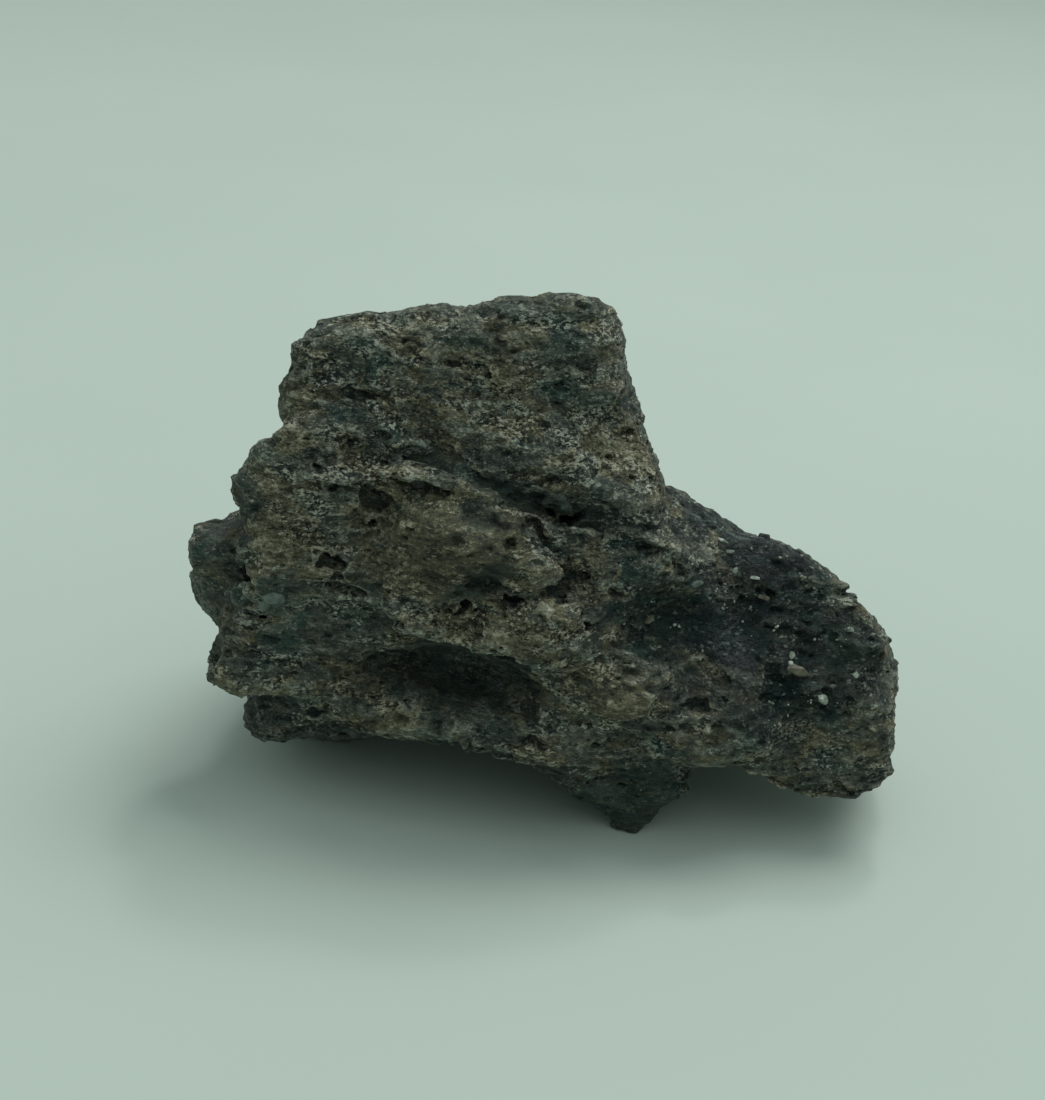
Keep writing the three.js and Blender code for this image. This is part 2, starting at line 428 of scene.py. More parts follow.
# What is broken out of the lump, and what stands out of it.
HOLLOWS = (
    Blob("upper gash", (-5.0, -10.7, 24.7), (2.9, 1.1, 0.42), (-14, 12, 0), soft=0.5),
    Blob("lower gash", (-1.5, -10.6, 23.2), (3.0, 1.3, 0.42), (-14, 17, 0), soft=0.5),
    Blob("soft hollow", (-13.0, -11.0, 26.1), (2.3, 1.4, 1.0), (0, -6, 0), soft=0.6),
    Blob("square hole", (-12.3, -11.6, 22.8), (0.95, 1.6, 0.8), (0, 4, 0), 5, 0.15),
    Blob("boss hole", (-5.5, -13.6, 23.6), (1.2, 1.0, 0.55), (0, 5, 0), 3, 0.15),
    Blob("boss bubble low", (-6.8, -14.7, 22.3), (0.42, 0.6, 0.42), soft=0.1),
    Blob("boss bubble left", (-9.1, -11.2, 24.2), (0.4, 0.7, 0.35), soft=0.1),
    Blob("boss bubble top", (-8.1, -12.3, 24.3), (0.3, 0.6, 0.3), soft=0.1),
    Blob("boss bubble right", (-3.4, -13.9, 22.0), (0.35, 0.6, 0.4), soft=0.1),
    Blob("left slot", (-14.6, -12.7, 18.8), (1.0, 1.3, 0.42), (0, 8, 0), 3, 0.15),
    Blob("left slit", (-13.6, -12.9, 17.2), (1.3, 0.8, 0.25), (0, -8, 0), soft=0.12),
    Blob("under boss", (-4.8, -15.4, 19.6), (2.4, 1.1, 0.7), (0, -38, 0), soft=0.5),
    Blob("right slot", (5.7, -11.4, 21.4), (1.7, 1.4, 0.42), (0, 9, 0), soft=0.2),
    Blob("crack", (-1.9, -12.2, 22.3), (0.24, 1.4, 1.2), (0, -42, 0), soft=0.1),
    Blob("crack low", (-0.4, -13.2, 18.9), (0.24, 1.4, 1.6), (0, -38, 0), soft=0.1),
    Blob("cavity", (-6.0, -14.4, 12.4), (4.7, 2.6, 2.2), (0, 0, 0), 5, 0.15),
    Blob("cavity floor", (-3.6, -13.4, 10.3), (3.0, 2.6, 0.7), (0, 3, 0)),
    Blob("cavity left", (-11.2, -13.6, 12.0), (3.6, 1.8, 0.7), (0, 6, 0)),
    Blob("sill slit", (-0.6, -15.2, 8.5), (1.0, 1.2, 0.3), (0, 4, 0), soft=0.12),
    Blob("slot over bump", (5.3, -14.4, 13.8), (1.2, 1.1, 0.34), (0, 6, 0), soft=0.15),
    Blob("hole by bump", (9.6, -13.2, 11.3), (1.0, 1.3, 0.42), (0, 6, 0), soft=0.2),
    Blob("ring bubble", (6.7, -11.3, 19.7), (0.45, 0.7, 0.3), (0, 4, 0), soft=0.08),
    Blob("ring neighbour", (8.0, -10.3, 19.5), (0.75, 1.0, 0.38), (0, 4, 0), soft=0.12),
    Blob("top left trim", (-16.9, -4.5, 33.9), (4.0, 6.5, 1.6), (0, -29, 0), 4, 0.5),
    Blob("block slot", (-7.1, -7.8, 31.4), (1.3, 0.7, 0.28), (0, 4, 0), soft=0.15),
    Blob("block square", (-6.2, -8.0, 30.0), (0.95, 0.55, 0.6), (0, 0, 0), 3, 0.2),
    Blob("block slot left", (-14.0, -8.1, 28.9), (1.2, 0.7, 0.3), (0, 6, 0), soft=0.15),
    Blob("notch", (-21.9, -8.2, 19.3), (2.0, 4.6, 1.1), (0, -4, 0), soft=0.4),
    Blob("shoulder trim", (-23.4, -7.0, 23.8), (2.1, 5.0, 2.1), (0, 40, 0), soft=0.6),
    Blob("arch", (11.9, -11.6, 5.3), (2.0, 4.4, 1.8), soft=0.8),
    Blob("arch right", (14.6, -9.8, 3.9), (2.8, 4.2, 1.5), (0, 12, 0), soft=0.8),
    Blob("lower left step", (-23.2, -10.0, 7.4), (1.9, 4.0, 2.4), (0, 20, 0), soft=0.6),
)

LUMPS = (
    Blob("fill by boss", (-12.4, -9.8, 23.2), (2.6, 1.8, 2.0), soft=0.6),
    Blob("arc ledge left", (-15.0, -10.9, 24.4), (3.0, 1.2, 0.5), (0, -5, 0), soft=0.4),
    Blob("arc ledge middle", (-10.4, -11.0, 25.1), (3.0, 1.2, 0.5), (0, -2, 0), soft=0.4),
    Blob("arc ledge right", (-6.6, -11.6, 24.6), (2.2, 1.0, 0.45), (0, 12, 0), soft=0.4),
    Blob("fill under boss", (-2.6, -13.2, 20.2), (2.6, 1.8, 1.6), soft=0.8),
    Blob("golden bump", (4.6, -14.0, 12.0), (2.2, 1.5, 1.4), (0, 4, 0), soft=0.5),
    Blob("gash floor", (0.1, -10.2, 22.6), (1.6, 1.0, 0.8), (0, 15, 0), soft=0.4),
    Blob("ring lip", (6.7, -11.0, 19.7), (0.75, 0.35, 0.55), (0, 4, 0), soft=0.2),
    Blob("saddle", (8.4, -0.4, 19.0), (4.4, 3.4, 1.9), (0, 26, 0), soft=1.2),
    Blob("lobe crown", (16.0, -3.0, 16.5), (4.4, 4.0, 1.9), (0, 30, 0), soft=1.0),
    Blob("right flank low", (2.8, -2.6, 27.2), (1.6, 3.4, 3.0), (0, -18, 0), soft=0.7),
    Blob("right flank high", (1.1, -2.7, 32.3), (1.7, 3.0, 2.8), (0, -18, 0), soft=0.6),
    Blob("knob corner", (-23.1, -6.4, 16.4), (1.9, 2.8, 1.5), (0, -4, 0), 3, 0.5),
    Blob("block edge high", (-17.4, -5.0, 30.4), (1.5, 3.0, 2.6), (0, 8, 0), soft=0.8),
    Blob("block edge low", (-17.9, -6.0, 27.4), (1.5, 3.0, 2.4), soft=0.8),
    Blob("lower left corner", (-18.2, -8.6, 5.6), (2.2, 3.0, 1.5), soft=1.0),
    Blob("front toe", (6.4, -9.3, 0.7), (1.4, 1.4, 1.6), soft=0.8),
)

# Where each finish shows. A few dark and grey zones are painted shade where the lump lies in shadow.
ZONES = (
    Zone(Blob("dish", (11.3, -9.6, 15.0), (3.5, 2.6, 1.9), (0, 6, 0)), Tone.DARK, 0.8),
    Zone(Blob("dish left", (7.6, -10.2, 15.6), (2.2, 2.0, 1.3), (0, 6, 0)), Tone.DARK, 0.4, 0.8),
    Zone(Blob("lobe top", (12.8, -4.0, 19.8), (4.4, 5.0, 2.1), (0, 28, 0)), Tone.DARK, 0.4, 0.9, 0.25),
    Zone(Blob("lobe back", (15.0, 3.6, 15.0), (9.0, 6.4, 6.6), (0, 28, 0)), Tone.DARK, 0.1, 0.55, 0.5),
    Zone(Blob("saddle wedge", (9.2, -1.5, 20.6), (4.4, 3.4, 1.8), (0, 26, 0)), Tone.DARK, 0.3, 0.7, 0.35),
    Zone(Blob("lobe front", (15.4, -8.8, 15.4), (7.6, 3.2, 4.6), (0, 24, 0)), Tone.DARK, 0.0, 0.7, 0.2),
    Zone(Blob("lobe low", (13.0, -11.0, 11.4), (8.0, 2.6, 2.4), (0, 10, 0)), Tone.DARK, 0.0, 0.6, 0.3),
    Zone(Blob("right middle", (4.6, -10.6, 18.2), (5.0, 3.0, 3.6), (0, 20, 0)), Tone.DARK, 0.0, 0.45, 0.3),
    # the cavity's slate tint is partly its own glass, partly painted shade
    Zone(Blob("cavity", (-6.0, -11.8, 12.0), (5.4, 2.8, 2.8)), Tone.GREY, 0.4, 0.9),
    Zone(Blob("foot", (6.4, -10.6, 3.0), (3.2, 3.0, 3.4)), Tone.GREY, 0.55, 0.8, 0.25),
    Zone(Blob("dark lens", (1.2, -8.2, 24.9), (1.0, 1.2, 0.5), (0, 8, 0)), Tone.DARK, 0.2, 0.7),
    # painted shade: the bottom band is darkened towards dark glass, as the shade under the lump
    Zone(Blob("dark base", (2.0, -9.0, 3.6), (24.0, 10.0, 3.4), (0, 6, 0)), Tone.DARK, 0.0, 0.4, 0.4),
    Zone(Blob("lobe end", (19.2, -8.2, 14.4), (1.6, 2.0, 1.7), (0, 40, 0)), Tone.GREY, 0.6, 0.6),
    Zone(Blob("knob", (-23.2, -8.0, 14.2), (2.3, 4.4, 3.4), (0, 0, 8)), Tone.GREY, 0.25, 0.4, 0.3),
    Zone(Blob("wedge facet", (1.4, -7.4, 29.9), (2.0, 1.6, 0.7), (0, -14, 0)), Tone.GREY, 0.85, 0.8),
    Zone(Blob("right flank", (3.8, -2.0, 31.0), (1.9, 6.0, 6.0), (0, 12, 0)), Tone.GREY, 0.35, 0.65, 0.25),
    Zone(Blob("top rim", (-8.0, -2.0, 35.6), (12.0, 7.0, 1.5), (0, -4, 0)), Tone.GREY, 0.5, 0.7, 0.35),
    Zone(Blob("block edge", (-18.6, -4.0, 29.4), (1.6, 6.0, 4.4), (0, 8, 0)), Tone.GREY, 0.6, 0.35),
    Zone(Blob("green chip", (-18.2, -12.8, 16.0), (1.1, 1.2, 1.1)), Tone.GREEN, 0.6, 0.8),
    Zone(Blob("green patch", (-18.0, -12.9, 13.6), (2.2, 1.2, 0.8), (0, 8, 0)), Tone.GREEN, 0.7, 0.7),
    Zone(Blob("green spot", (9.1, -9.6, 18.8), (0.8, 0.9, 0.5)), Tone.GREEN, 0.4),
    Zone(Blob("block greens", (-3.4, -7.6, 33.0), (4.4, 1.8, 1.3), (0, -6, 0)), Tone.GREEN, 0.2, 0.25),
    Zone(Blob("green fleck", (-1.2, -7.2, 30.2), (1.5, 1.2, 0.6), (0, 10, 0)), Tone.GREEN, 0.1, 0.4),
    Zone(Blob("boss", (-6.7, -13.4, 21.6), (4.8, 3.2, 3.4)), Tone.AMBER, 0.45, 1.0, 0.18),
    # painted shade: the overhang's shadow over the gash, painted as slate grey glass
    Zone(Blob("gash", (-3.6, -10.6, 24.2), (5.0, 1.8, 0.8), (-14, 15, 0)), Tone.GREY, 0.4, 0.85),
    # painted shade: the shadow in the recess under the boss, painted as slate grey glass
    Zone(Blob("under boss", (-5.3, -14.6, 19.3), (3.0, 1.8, 0.9), (0, -38, 0)), Tone.GREY, 0.4, 0.8),
    Zone(Blob("boss hole", (-5.5, -13.4, 23.7), (1.5, 1.6, 0.8)), Tone.GREY, 0.6, 0.8),
    Zone(Blob("golden bump", (4.6, -14.6, 12.0), (2.3, 1.6, 1.5)), Tone.AMBER, 0.6, 0.8),
    Zone(Blob("golden chin", (-1.4, -13.6, 11.5), (1.3, 1.6, 1.6)), Tone.AMBER, 0.3, 0.7),
    Zone(Blob("tan shoulder", (3.0, -6.4, 27.0), (3.4, 2.6, 2.2)), Tone.TAN, 0.0),
    Zone(Blob("tan shelf", (-4.0, -15.4, 16.6), (5.6, 1.8, 1.5), (0, 4, 0)), Tone.TAN, 0.2),
    Zone(Blob("tan middle", (-11.0, -10.4, 20.6), (4.0, 2.6, 2.4)), Tone.TAN, 0.0, 0.7),
    Zone(Blob("tan block", (-8.0, -7.6, 29.0), (6.6, 2.4, 3.0)), Tone.TAN, 0.0, 0.8),
    Zone(Blob("tan left", (-18.0, -11.6, 20.6), (2.6, 2.2, 1.8)), Tone.TAN, 0.0, 0.8),
    Zone(Blob("tan crack side", (1.6, -11.4, 19.4), (2.6, 2.0, 2.2)), Tone.TAN, 0.0, 0.9),
    Zone(Blob("tan streak", (18.6, -10.4, 8.8), (3.4, 1.4, 0.8), (0, 8, 0)), Tone.TAN, 0.2, 0.8),
)


# --------------------------------------------------------------------------- skin


@dataclass(frozen=True)
class Relief:
    """Heights of the skin's relief, and how far apart the knots of its noises are.

    Args:
        ledge: Height of the broken ledges.
        ledge_every: Distance between ledges.
        lamina: Height of the thin laminae.
        lamina_every: Distance between laminae.
        plate: Height of the plates' steps, and of their slopes.
        plate_size: Mean size of a plate.
        flake: Height of the flakes' steps, and of their slopes.
        flake_size: Mean size of a flake.
        chip: Depth of the broad chipped dents.
        lumpiness: Height of the gentle bumps along the beds.
        wall: Height of the walls between flattened bubbles.
        froth: Height of the fine froth.
        grit: Height of the finest grit.
        warps: Heights and knots of the beds' broad and narrow warps.
        sway: How far the plates and flakes are swayed, to make them ragged.
        sway_knots: Knots of that sway.
        bed_knots: Knots of the beds' random tones.
        fray_knots: Knots of the zones' frayed edges.
        mood_knots: Knots of the change from bubble walls to fine froth.
        chip_knots: Knots of the chipped dents.
        wall_knots: Knots of the bubble walls.
        froth_knots: Knots of the fine froth.
        grit_knots: Knots of the grit.
        broken_knots: Knots of the change from whole to broken ledges.
        coarse_bubbles: How many there are, and their least and largest radius.
        middle_bubbles: The same for the middling bubbles.
        fine_bubbles: The same for the finest bubbles.
        flatness: A bubble's half sizes along x, y and z, as shares of its radius.
    """

    ledge: float = 0.2
    ledge_every: float = 1.7
    lamina: float = 0.10
    lamina_every: float = 0.66
    plate: Span = (0.20, 0.22)
    plate_size: Triple = (2.3, 2.3, 1.0)
    flake: Span = (0.15, 0.18)
    flake_size: Triple = (0.95, 0.95, 0.5)
    chip: float = 0.10
    lumpiness: float = 0.05
    wall: float = 0.07
    froth: float = 0.08
    grit: float = 0.05
    warps: tuple[Span, Span] = ((0.9, 6.0), (0.25, 2.2))
    sway: Triple = (0.22, 0.22, 0.12)
    sway_knots: Triple = (0.75, 0.75, 0.6)
    bed_knots: Triple = (3.0, 3.0, 0.45)
    fray_knots: Triple = (0.9, 0.9, 0.5)
    mood_knots: Triple = (3.4, 3.4, 2.2)
    chip_knots: Triple = (1.5, 1.5, 0.9)
    wall_knots: Triple = (0.85, 0.85, 0.4)
    froth_knots: Triple = (0.5, 0.5, 0.36)
    grit_knots: Triple = (0.3, 0.3, 0.26)
    broken_knots: Triple = (2.4, 2.4, 1.5)
    coarse_bubbles: tuple[int, float, float] = (44, 0.45, 0.85)
    middle_bubbles: tuple[int, float, float] = (640, 0.28, 0.5)
    fine_bubbles: tuple[int, float, float] = (3600, 0.18, 0.3)
    flatness: Triple = (1.25, 0.95, 0.62)


@dataclass
class Skin:
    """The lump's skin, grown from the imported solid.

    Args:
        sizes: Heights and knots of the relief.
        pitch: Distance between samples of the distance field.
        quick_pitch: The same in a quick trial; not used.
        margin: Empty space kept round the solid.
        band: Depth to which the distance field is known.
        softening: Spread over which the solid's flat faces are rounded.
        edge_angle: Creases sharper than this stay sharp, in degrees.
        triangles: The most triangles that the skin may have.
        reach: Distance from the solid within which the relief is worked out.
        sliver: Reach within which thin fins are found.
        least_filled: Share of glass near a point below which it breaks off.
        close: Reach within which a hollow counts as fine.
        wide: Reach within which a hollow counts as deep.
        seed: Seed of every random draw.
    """

    sizes: Relief = Relief()
    pitch: float = 0.2
    quick_pitch: float = 0.34
    margin: float = 1.6
    band: float = 3.0
    softening: float = 0.4
    edge_angle: float = 38.0
    triangles: int = 196_000
    reach: float = 1.1
    sliver: float = 0.2
    least_filled: float = 0.25
    close: float = 0.25
    wide: float = 1.2
    seed: int = 11

    def __post_init__(self) -> None:
        """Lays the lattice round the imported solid."""
        self.low, self.high = (np.array(v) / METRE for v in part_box(NODE))
        self.lattice = Lattice.round_box(self.low, self.high, self.margin, self.pitch)
        self.rng = np.random.default_rng(self.seed)

    def knotted(self, knots: Triple) -> Array:
        """Makes a smooth random field on the whole lattice."""
        return noise(self.rng, self.lattice.axes(), knots)

    def steps(self, length: float) -> int:
        """Gives a length as a whole number of samples."""
        return max(1, round(length / self.pitch))

    def solid_distance(self) -> Array:
        """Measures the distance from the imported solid's surface.

        Returns:
            One distance for each sample, negative inside.
        """
        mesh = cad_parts[NODE].data
        mesh.calc_loop_triangles()
        corners = np.empty(len(mesh.loop_triangles) * 3, dtype=np.int32)
        mesh.loop_triangles.foreach_get("vertices", corners)
        places, merged = np.unique(np.round(vertices(mesh), 3), axis=0, return_inverse=True)
        grid = openvdb.FloatGrid.createLevelSetFromPolygons(
            places.astype(np.float32),
            triangles=merged.reshape(-1)[corners].reshape(-1, 3).astype(np.uint32),
            transform=openvdb.createLinearTransform(voxelSize=self.pitch),
            halfWidth=self.band / self.pitch,
        )
        distance = np.empty(self.lattice.shape, dtype=np.float32)
        grid.copyToArray(distance, ijk=self.lattice.low)
        return distance

    def with_places(self, distance: Array) -> Array:
        """Adds the named lumps and cuts the named hollows.

        Args:
            distance: The field to change.

        Returns:
            The same field.
        """
        for blob in LUMPS:
            part, points = self.lattice.window(blob.at, max(blob.half) + blob.soft + 1)
            distance[part] = -soft_max(-distance[part], -blob.distance(points), blob.soft)
        for blob in HOLLOWS:
            part, points = self.lattice.window(blob.at, max(blob.half) + blob.soft + 1)
            distance[part] = soft_max(distance[part], -blob.distance(points), blob.soft)
        return distance

    def calm(self) -> Array:
        """Maps how smooth the glass is.

        Returns:
            The map, from 0 for froth to 1 for clean glass.
        """
        calm = np.zeros(self.lattice.shape, dtype=np.float32)
        self.fray = self.knotted(self.sizes.fray_knots)
        for zone in ZONES:
            reach = max(zone.blob.half) * (1.2 + 3 * zone.fade) + 0.4
            part, points = self.lattice.window(zone.blob.at, reach)
            calm[part] = np.maximum(calm[part], zone.mask(points, self.fray[part]) * zone.calm)
        return calm

    def bed_heights(self) -> tuple[Array, Array]:
        """Gives each sample's height among the gently warped beds.

        Returns:
            The lower row of bed samples, and the share of the next row.
        """
        x, y, z = np.meshgrid(*self.lattice.axes(), indexing="ij", sparse=True)
        height = x * BED_UP[0] + y * BED_UP[1] + z * BED_UP[2]
        for warp, knots in self.sizes.warps:
            height = height + warp * self.knotted((knots,) * 3)
        self.bed_rows = np.arange(height.min() - 1, height.max() + 1, self.pitch, dtype=np.float32)
        place = (height - self.bed_rows[0]) / self.pitch
        row = place.astype(np.int32)
        return row, place - row

    def bedded(self, spacing: Triple) -> Array:
        """Makes a random field whose grain follows the beds.

        Args:
            spacing: Distance between its knots along x, along y and across the beds.

        Returns:
            The field on the lattice.
        """
        x, y, _ = self.lattice.axes()
        flat = noise(self.rng, (x, y, self.bed_rows), spacing)
        row, share = self.beds
        lower = np.take_along_axis(flat, row, axis=2)
        upper = np.take_along_axis(flat, row + 1, axis=2)
        return lower + (upper - lower) * share

    def flaky(self, mosaic: Mosaic, size: Span, near: Array) -> Array:
        """Gives the steps and slopes of a mosaic's flakes close to the skin.

        Args:
            mosaic: The flakes.
            size: Height of the steps, and of the slopes.
            near: Which samples are close to the skin.

        Returns:
            A field of heights, 0 away from the skin.
        """
        traits, way = mosaic.find(self.bed_place[near])
        heights = np.zeros(self.lattice.shape, dtype=np.float32)
        slopes = ((traits[:, 1:4] - 0.5) * way).sum(axis=1)
        heights[near] = size[0] * (traits[:, 0] - 0.5) + size[1] * slopes
        return heights

    def sway_beds(self) -> None:
        """Works out each sample's swayed place among the beds, and scatters the plates and flakes."""
        row, share = self.beds
        sway = [self.knotted(self.sizes.sway_knots) for _ in range(3)]
        x, y, _ = np.meshgrid(*self.lattice.axes(), indexing="ij", sparse=True)
        level = (x, y, (row + share) * self.pitch)
        moved = [at + reach * by for at, reach, by in zip(level, self.sizes.sway, sway)]
        self.bed_place = np.stack(moved, axis=-1)
        low, high = self.bed_place.min(axis=(0, 1, 2)), self.bed_place.max(axis=(0, 1, 2))
        self.plates = Mosaic(self.rng, low, high, self.sizes.plate_size)
        self.flakes = Mosaic(self.rng, low, high, self.sizes.flake_size)

    def relief(self, calm: Array, near: Array) -> Array:
        """Adds up the ledges, laminae, plates, flakes and froth.

        Args:
            calm: How smooth the glass is.
            near: Which samples are close to the skin.

        Returns:
            The glass lost at each sample, in millimetres.
        """
        sizes = self.sizes
        row, share = self.beds
        height = (row + share) * self.pitch
        self.bed_tone = self.bedded(sizes.bed_knots)
        self.sway_beds()
        mood = smooth_step(-1.0, 1.0, self.knotted(sizes.mood_knots))
        chips = self.knotted(sizes.chip_knots)
        walls = np.minimum(np.abs(self.bedded(sizes.wall_knots)), 1.2)
        froth = np.minimum(np.abs(self.knotted(sizes.froth_knots)), 1.2)
        grit = self.knotted(sizes.grit_knots)
        rough = self.flaky(self.plates, sizes.plate, near) + self.flaky(self.flakes, sizes.flake, near)
        self.broken = smooth_step(0.0, 0.9, self.knotted(sizes.broken_knots))
        ledges = self.steps_down(height / sizes.ledge_every + 0.42 * chips)
        laminae = self.steps_down(height / sizes.lamina_every + 0.5 * self.bed_tone)
        rough += sizes.ledge * ledges * (0.2 + 1.8 * self.broken)
        rough += sizes.lamina * laminae * (0.5 + self.broken)
        rough += sizes.chip * np.abs(chips) + sizes.lumpiness * self.bed_tone
        rough += sizes.wall * (0.5 + mood) * (walls - 0.5) + sizes.froth * (1.4 - mood) * (froth - 0.5)
        return rough * (1 - calm) + sizes.grit * grit * (1 - 0.5 * calm)

    @staticmethod
    def steps_down(turns: Array) -> Array:
        """Gives a saw-tooth wave of turns, from -0.45 to 0.35, with one softened edge."""
        part = turns - np.floor(turns)
        return np.minimum(part, (1 - part) * 4) - 0.45

    def with_bubbles(self, distance: Array, calm: Array, *kinds: tuple[int, float, float]) -> Array:
        """Opens gas bubbles all over the skin, flattened along the beds.

        Args:
            distance: The field to cut.
            calm: Where the glass is too clean to hold bubbles.
            kinds: For each kind, how many there are, and their least and largest radius.

        Returns:
            The field with its bubbles.
        """
        skin = np.flatnonzero(np.abs(distance) < 0.6 * self.pitch)
        axes = self.lattice.axes()
        for count, small, large in kinds:
            if small < 0.8 * self.pitch:  # too small for the samples of a quick trial
                continue
            picks = np.unravel_index(self.rng.choice(skin, count), self.lattice.shape)
            sizes = small + (large - small) * self.rng.random(count) ** 2
            chance = self.rng.random(count)
            for i, j, k, size, luck in zip(*picks, sizes, chance):
                if luck < 1.3 * calm[i, j, k]:
                    continue
                centre = tuple(float(axis[n]) for axis, n in zip(axes, (i, j, k)))
                half = tuple(size * share for share in self.sizes.flatness)
                part, points = self.lattice.window(centre, half[0] + self.pitch)
                local = points - np.array(centre, np.float32)
                local[..., 2] += local[..., 0] * BED_UP[0] + local[..., 1] * BED_UP[1]
                reach = np.sqrt(((local / np.array(half, np.float32)) ** 2).sum(axis=-1))
                distance[part] = np.maximum(distance[part], (1 - reach) * half[2])
        return distance

    def without_slivers(self, distance: Array) -> Array:
        """Takes off whiskers and thin fins that would have broken off."""
        filled = softened(np.clip(0.5 - distance / self.pitch, 0, 1), self.steps(self.sliver))
        return np.maximum(distance, (self.least_filled - filled) * 6 * self.pitch)

    def trimmed(self, distance: Array) -> Array:
        """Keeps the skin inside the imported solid's box, flat on the floor.

        Args:
            distance: The field to trim.

        Returns:
            The trimmed field.
        """
        for axis, (places, low, high) in enumerate(zip(self.lattice.axes(), self.low, self.high)):
            shape = [1, 1, 1]
            shape[axis] = -1
            outside = np.maximum(low - places, places - high).reshape(shape)
            distance = np.maximum(distance, outside)
        return distance

    @staticmethod
    def largest(quads: Array, count: int) -> Array:
        """Keeps the largest of the bodies that a mesh falls into.

        Args:
            quads: The mesh's faces.
            count: Number of its vertices.

        Returns:
            The faces of the largest body.
        """
        label = np.arange(count)
        while True:
            lowest = label[quads].min(axis=1)
            joined = label.copy()
            np.minimum.at(joined, quads.ravel(), np.repeat(lowest, 4))
            joined = joined[joined]
            if np.array_equal(joined, label):
                break
            label = joined
        names, sizes = np.unique(label, return_counts=True)
        return quads[label[quads[:, 0]] == names[sizes.argmax()]]

    def surface(self, distance: Array) -> bpy.types.Mesh:
        """Turns the field's surface into one closed mesh.

        Args:
            distance: The field.

        Returns:
            The mesh, in metres.
        """
        grid = openvdb.FloatGrid(1.0)
        grid.transform = openvdb.createLinearTransform(voxelSize=self.pitch)
        grid.copyFromArray(np.clip(distance, -1, 1), ijk=self.lattice.low)
        points, _, quads = grid.convertToPolygons(isovalue=0.0, adaptivity=0.0)
        quads = self.largest(quads.astype(np.int64), len(points))
        kept, quads = np.unique(quads, return_inverse=True)
        quads = quads.reshape(-1, 4)
        mesh = bpy.data.meshes.new("skin")
        mesh.vertices.add(len(kept))
        mesh.vertices.foreach_set("co", (points[kept] * METRE).astype(np.float32).ravel())
        mesh.loops.add(quads.size)
        mesh.loops.foreach_set("vertex_index", quads.astype(np.int32).ravel())
        mesh.polygons.add(len(quads))
        mesh.polygons.foreach_set("loop_start", np.arange(0, quads.size, 4, dtype=np.int32))
        mesh.update(calc_edges=True)
        mesh.validate()
        return mesh

    def thinned(self, mesh: bpy.types.Mesh) -> bpy.types.Object:
        """Makes the skin's object, with no more triangles than it may have.

        Args:
            mesh: The closed mesh, of quads.

        Returns:
            The object.
        """
        rough = placed("skin_rough", mesh)
        thin = rough.modifiers.new("thin", "DECIMATE")
        thin.ratio = min(1.0, self.triangles / (2 * len(mesh.polygons)))
        thin.use_collapse_triangulate = True
        final = bake(rough, "glass_skin")
        final.data.set_sharp_from_angle(angle=math.radians(self.edge_angle))
        return final

    def dress(self, skin: bpy.types.Object, distance: Array, calm: Array) -> None:
        """Writes the skin's zones, hollows and random tones as attributes.

        Args:
            skin: The skin's object.
            distance: The field that it was made from.
            calm: How smooth the glass is.
        """
        points = vertices(skin.data)
        filled = np.clip(0.5 - distance / self.pitch, 0, 1)
        # how hollow the skin is close by and farther round, which the material uses for painted shade and
        # painted fill light
        for name, reach, gain in (("hollow", self.close, 2.2), ("shade", self.wide, 2.0)):
            share = self.lattice.sample(softened(filled, self.steps(reach)), points)
            write(skin.data, name, 0.5 + gain * (share - 0.5))
        write(skin.data, "bed", self.lattice.sample(self.bed_tone, points))
        parts = np.moveaxis(self.bed_place, -1, 0)
        places = np.stack([self.lattice.sample(part, points) for part in parts], axis=1)
        traits, _ = self.plates.find(places)
        for name, trait in (("plate_tone", 4), ("plate_hue", 5), ("plate_glitter", 0)):
            write(skin.data, name, traits[:, trait])
        broken = self.lattice.sample(self.broken, points)
        write(skin.data, "broken", broken)
        smooth = self.lattice.sample(calm, points)
        write(skin.data, "calm", smooth)
        fray = self.lattice.sample(self.fray, points)
        for tone in Tone:
            mask = np.max([zone.mask(points, fray) for zone in ZONES if zone.tone is tone], axis=0)
            write(skin.data, tone.value, mask)
            if tone is Tone.DARK:
                patchy = smooth_step(0.0, 1.2, broken + 0.6 * fray)
                write(skin.data, "grainy", mask * patchy * (1 - smooth))

    def build(self) -> bpy.types.Object:
        """Grows the skin and writes its attributes.

        Returns:
            The skin's object.
        """
        distance = softened(self.solid_distance(), self.steps(self.softening))
        calm = self.calm()
        self.beds = self.bed_heights()
        distance = self.with_places(distance)
        distance = self.with_bubbles(distance, calm, self.sizes.coarse_bubbles)
        distance = distance + self.relief(calm, np.abs(distance) < self.reach)
        finer = (self.sizes.middle_bubbles, self.sizes.fine_bubbles)
        distance = self.with_bubbles(distance, calm, *finer)
        distance = self.trimmed(self.without_slivers(distance))
        skin = self.thinned(self.surface(distance))
        self.dress(skin, distance, calm)
        skin.data.materials.append(GlassFinish().material())
        return skin


# ----------------------------------------------------------------------- finishes


@dataclass(frozen=True)
class Chips:
    """A mosaic's sockets: three random numbers for each chip, its slope, and the lines between."""

    tone: Socket
    hue: Socket
    kind: Socket
    slope: Socket
    line: Socket | None


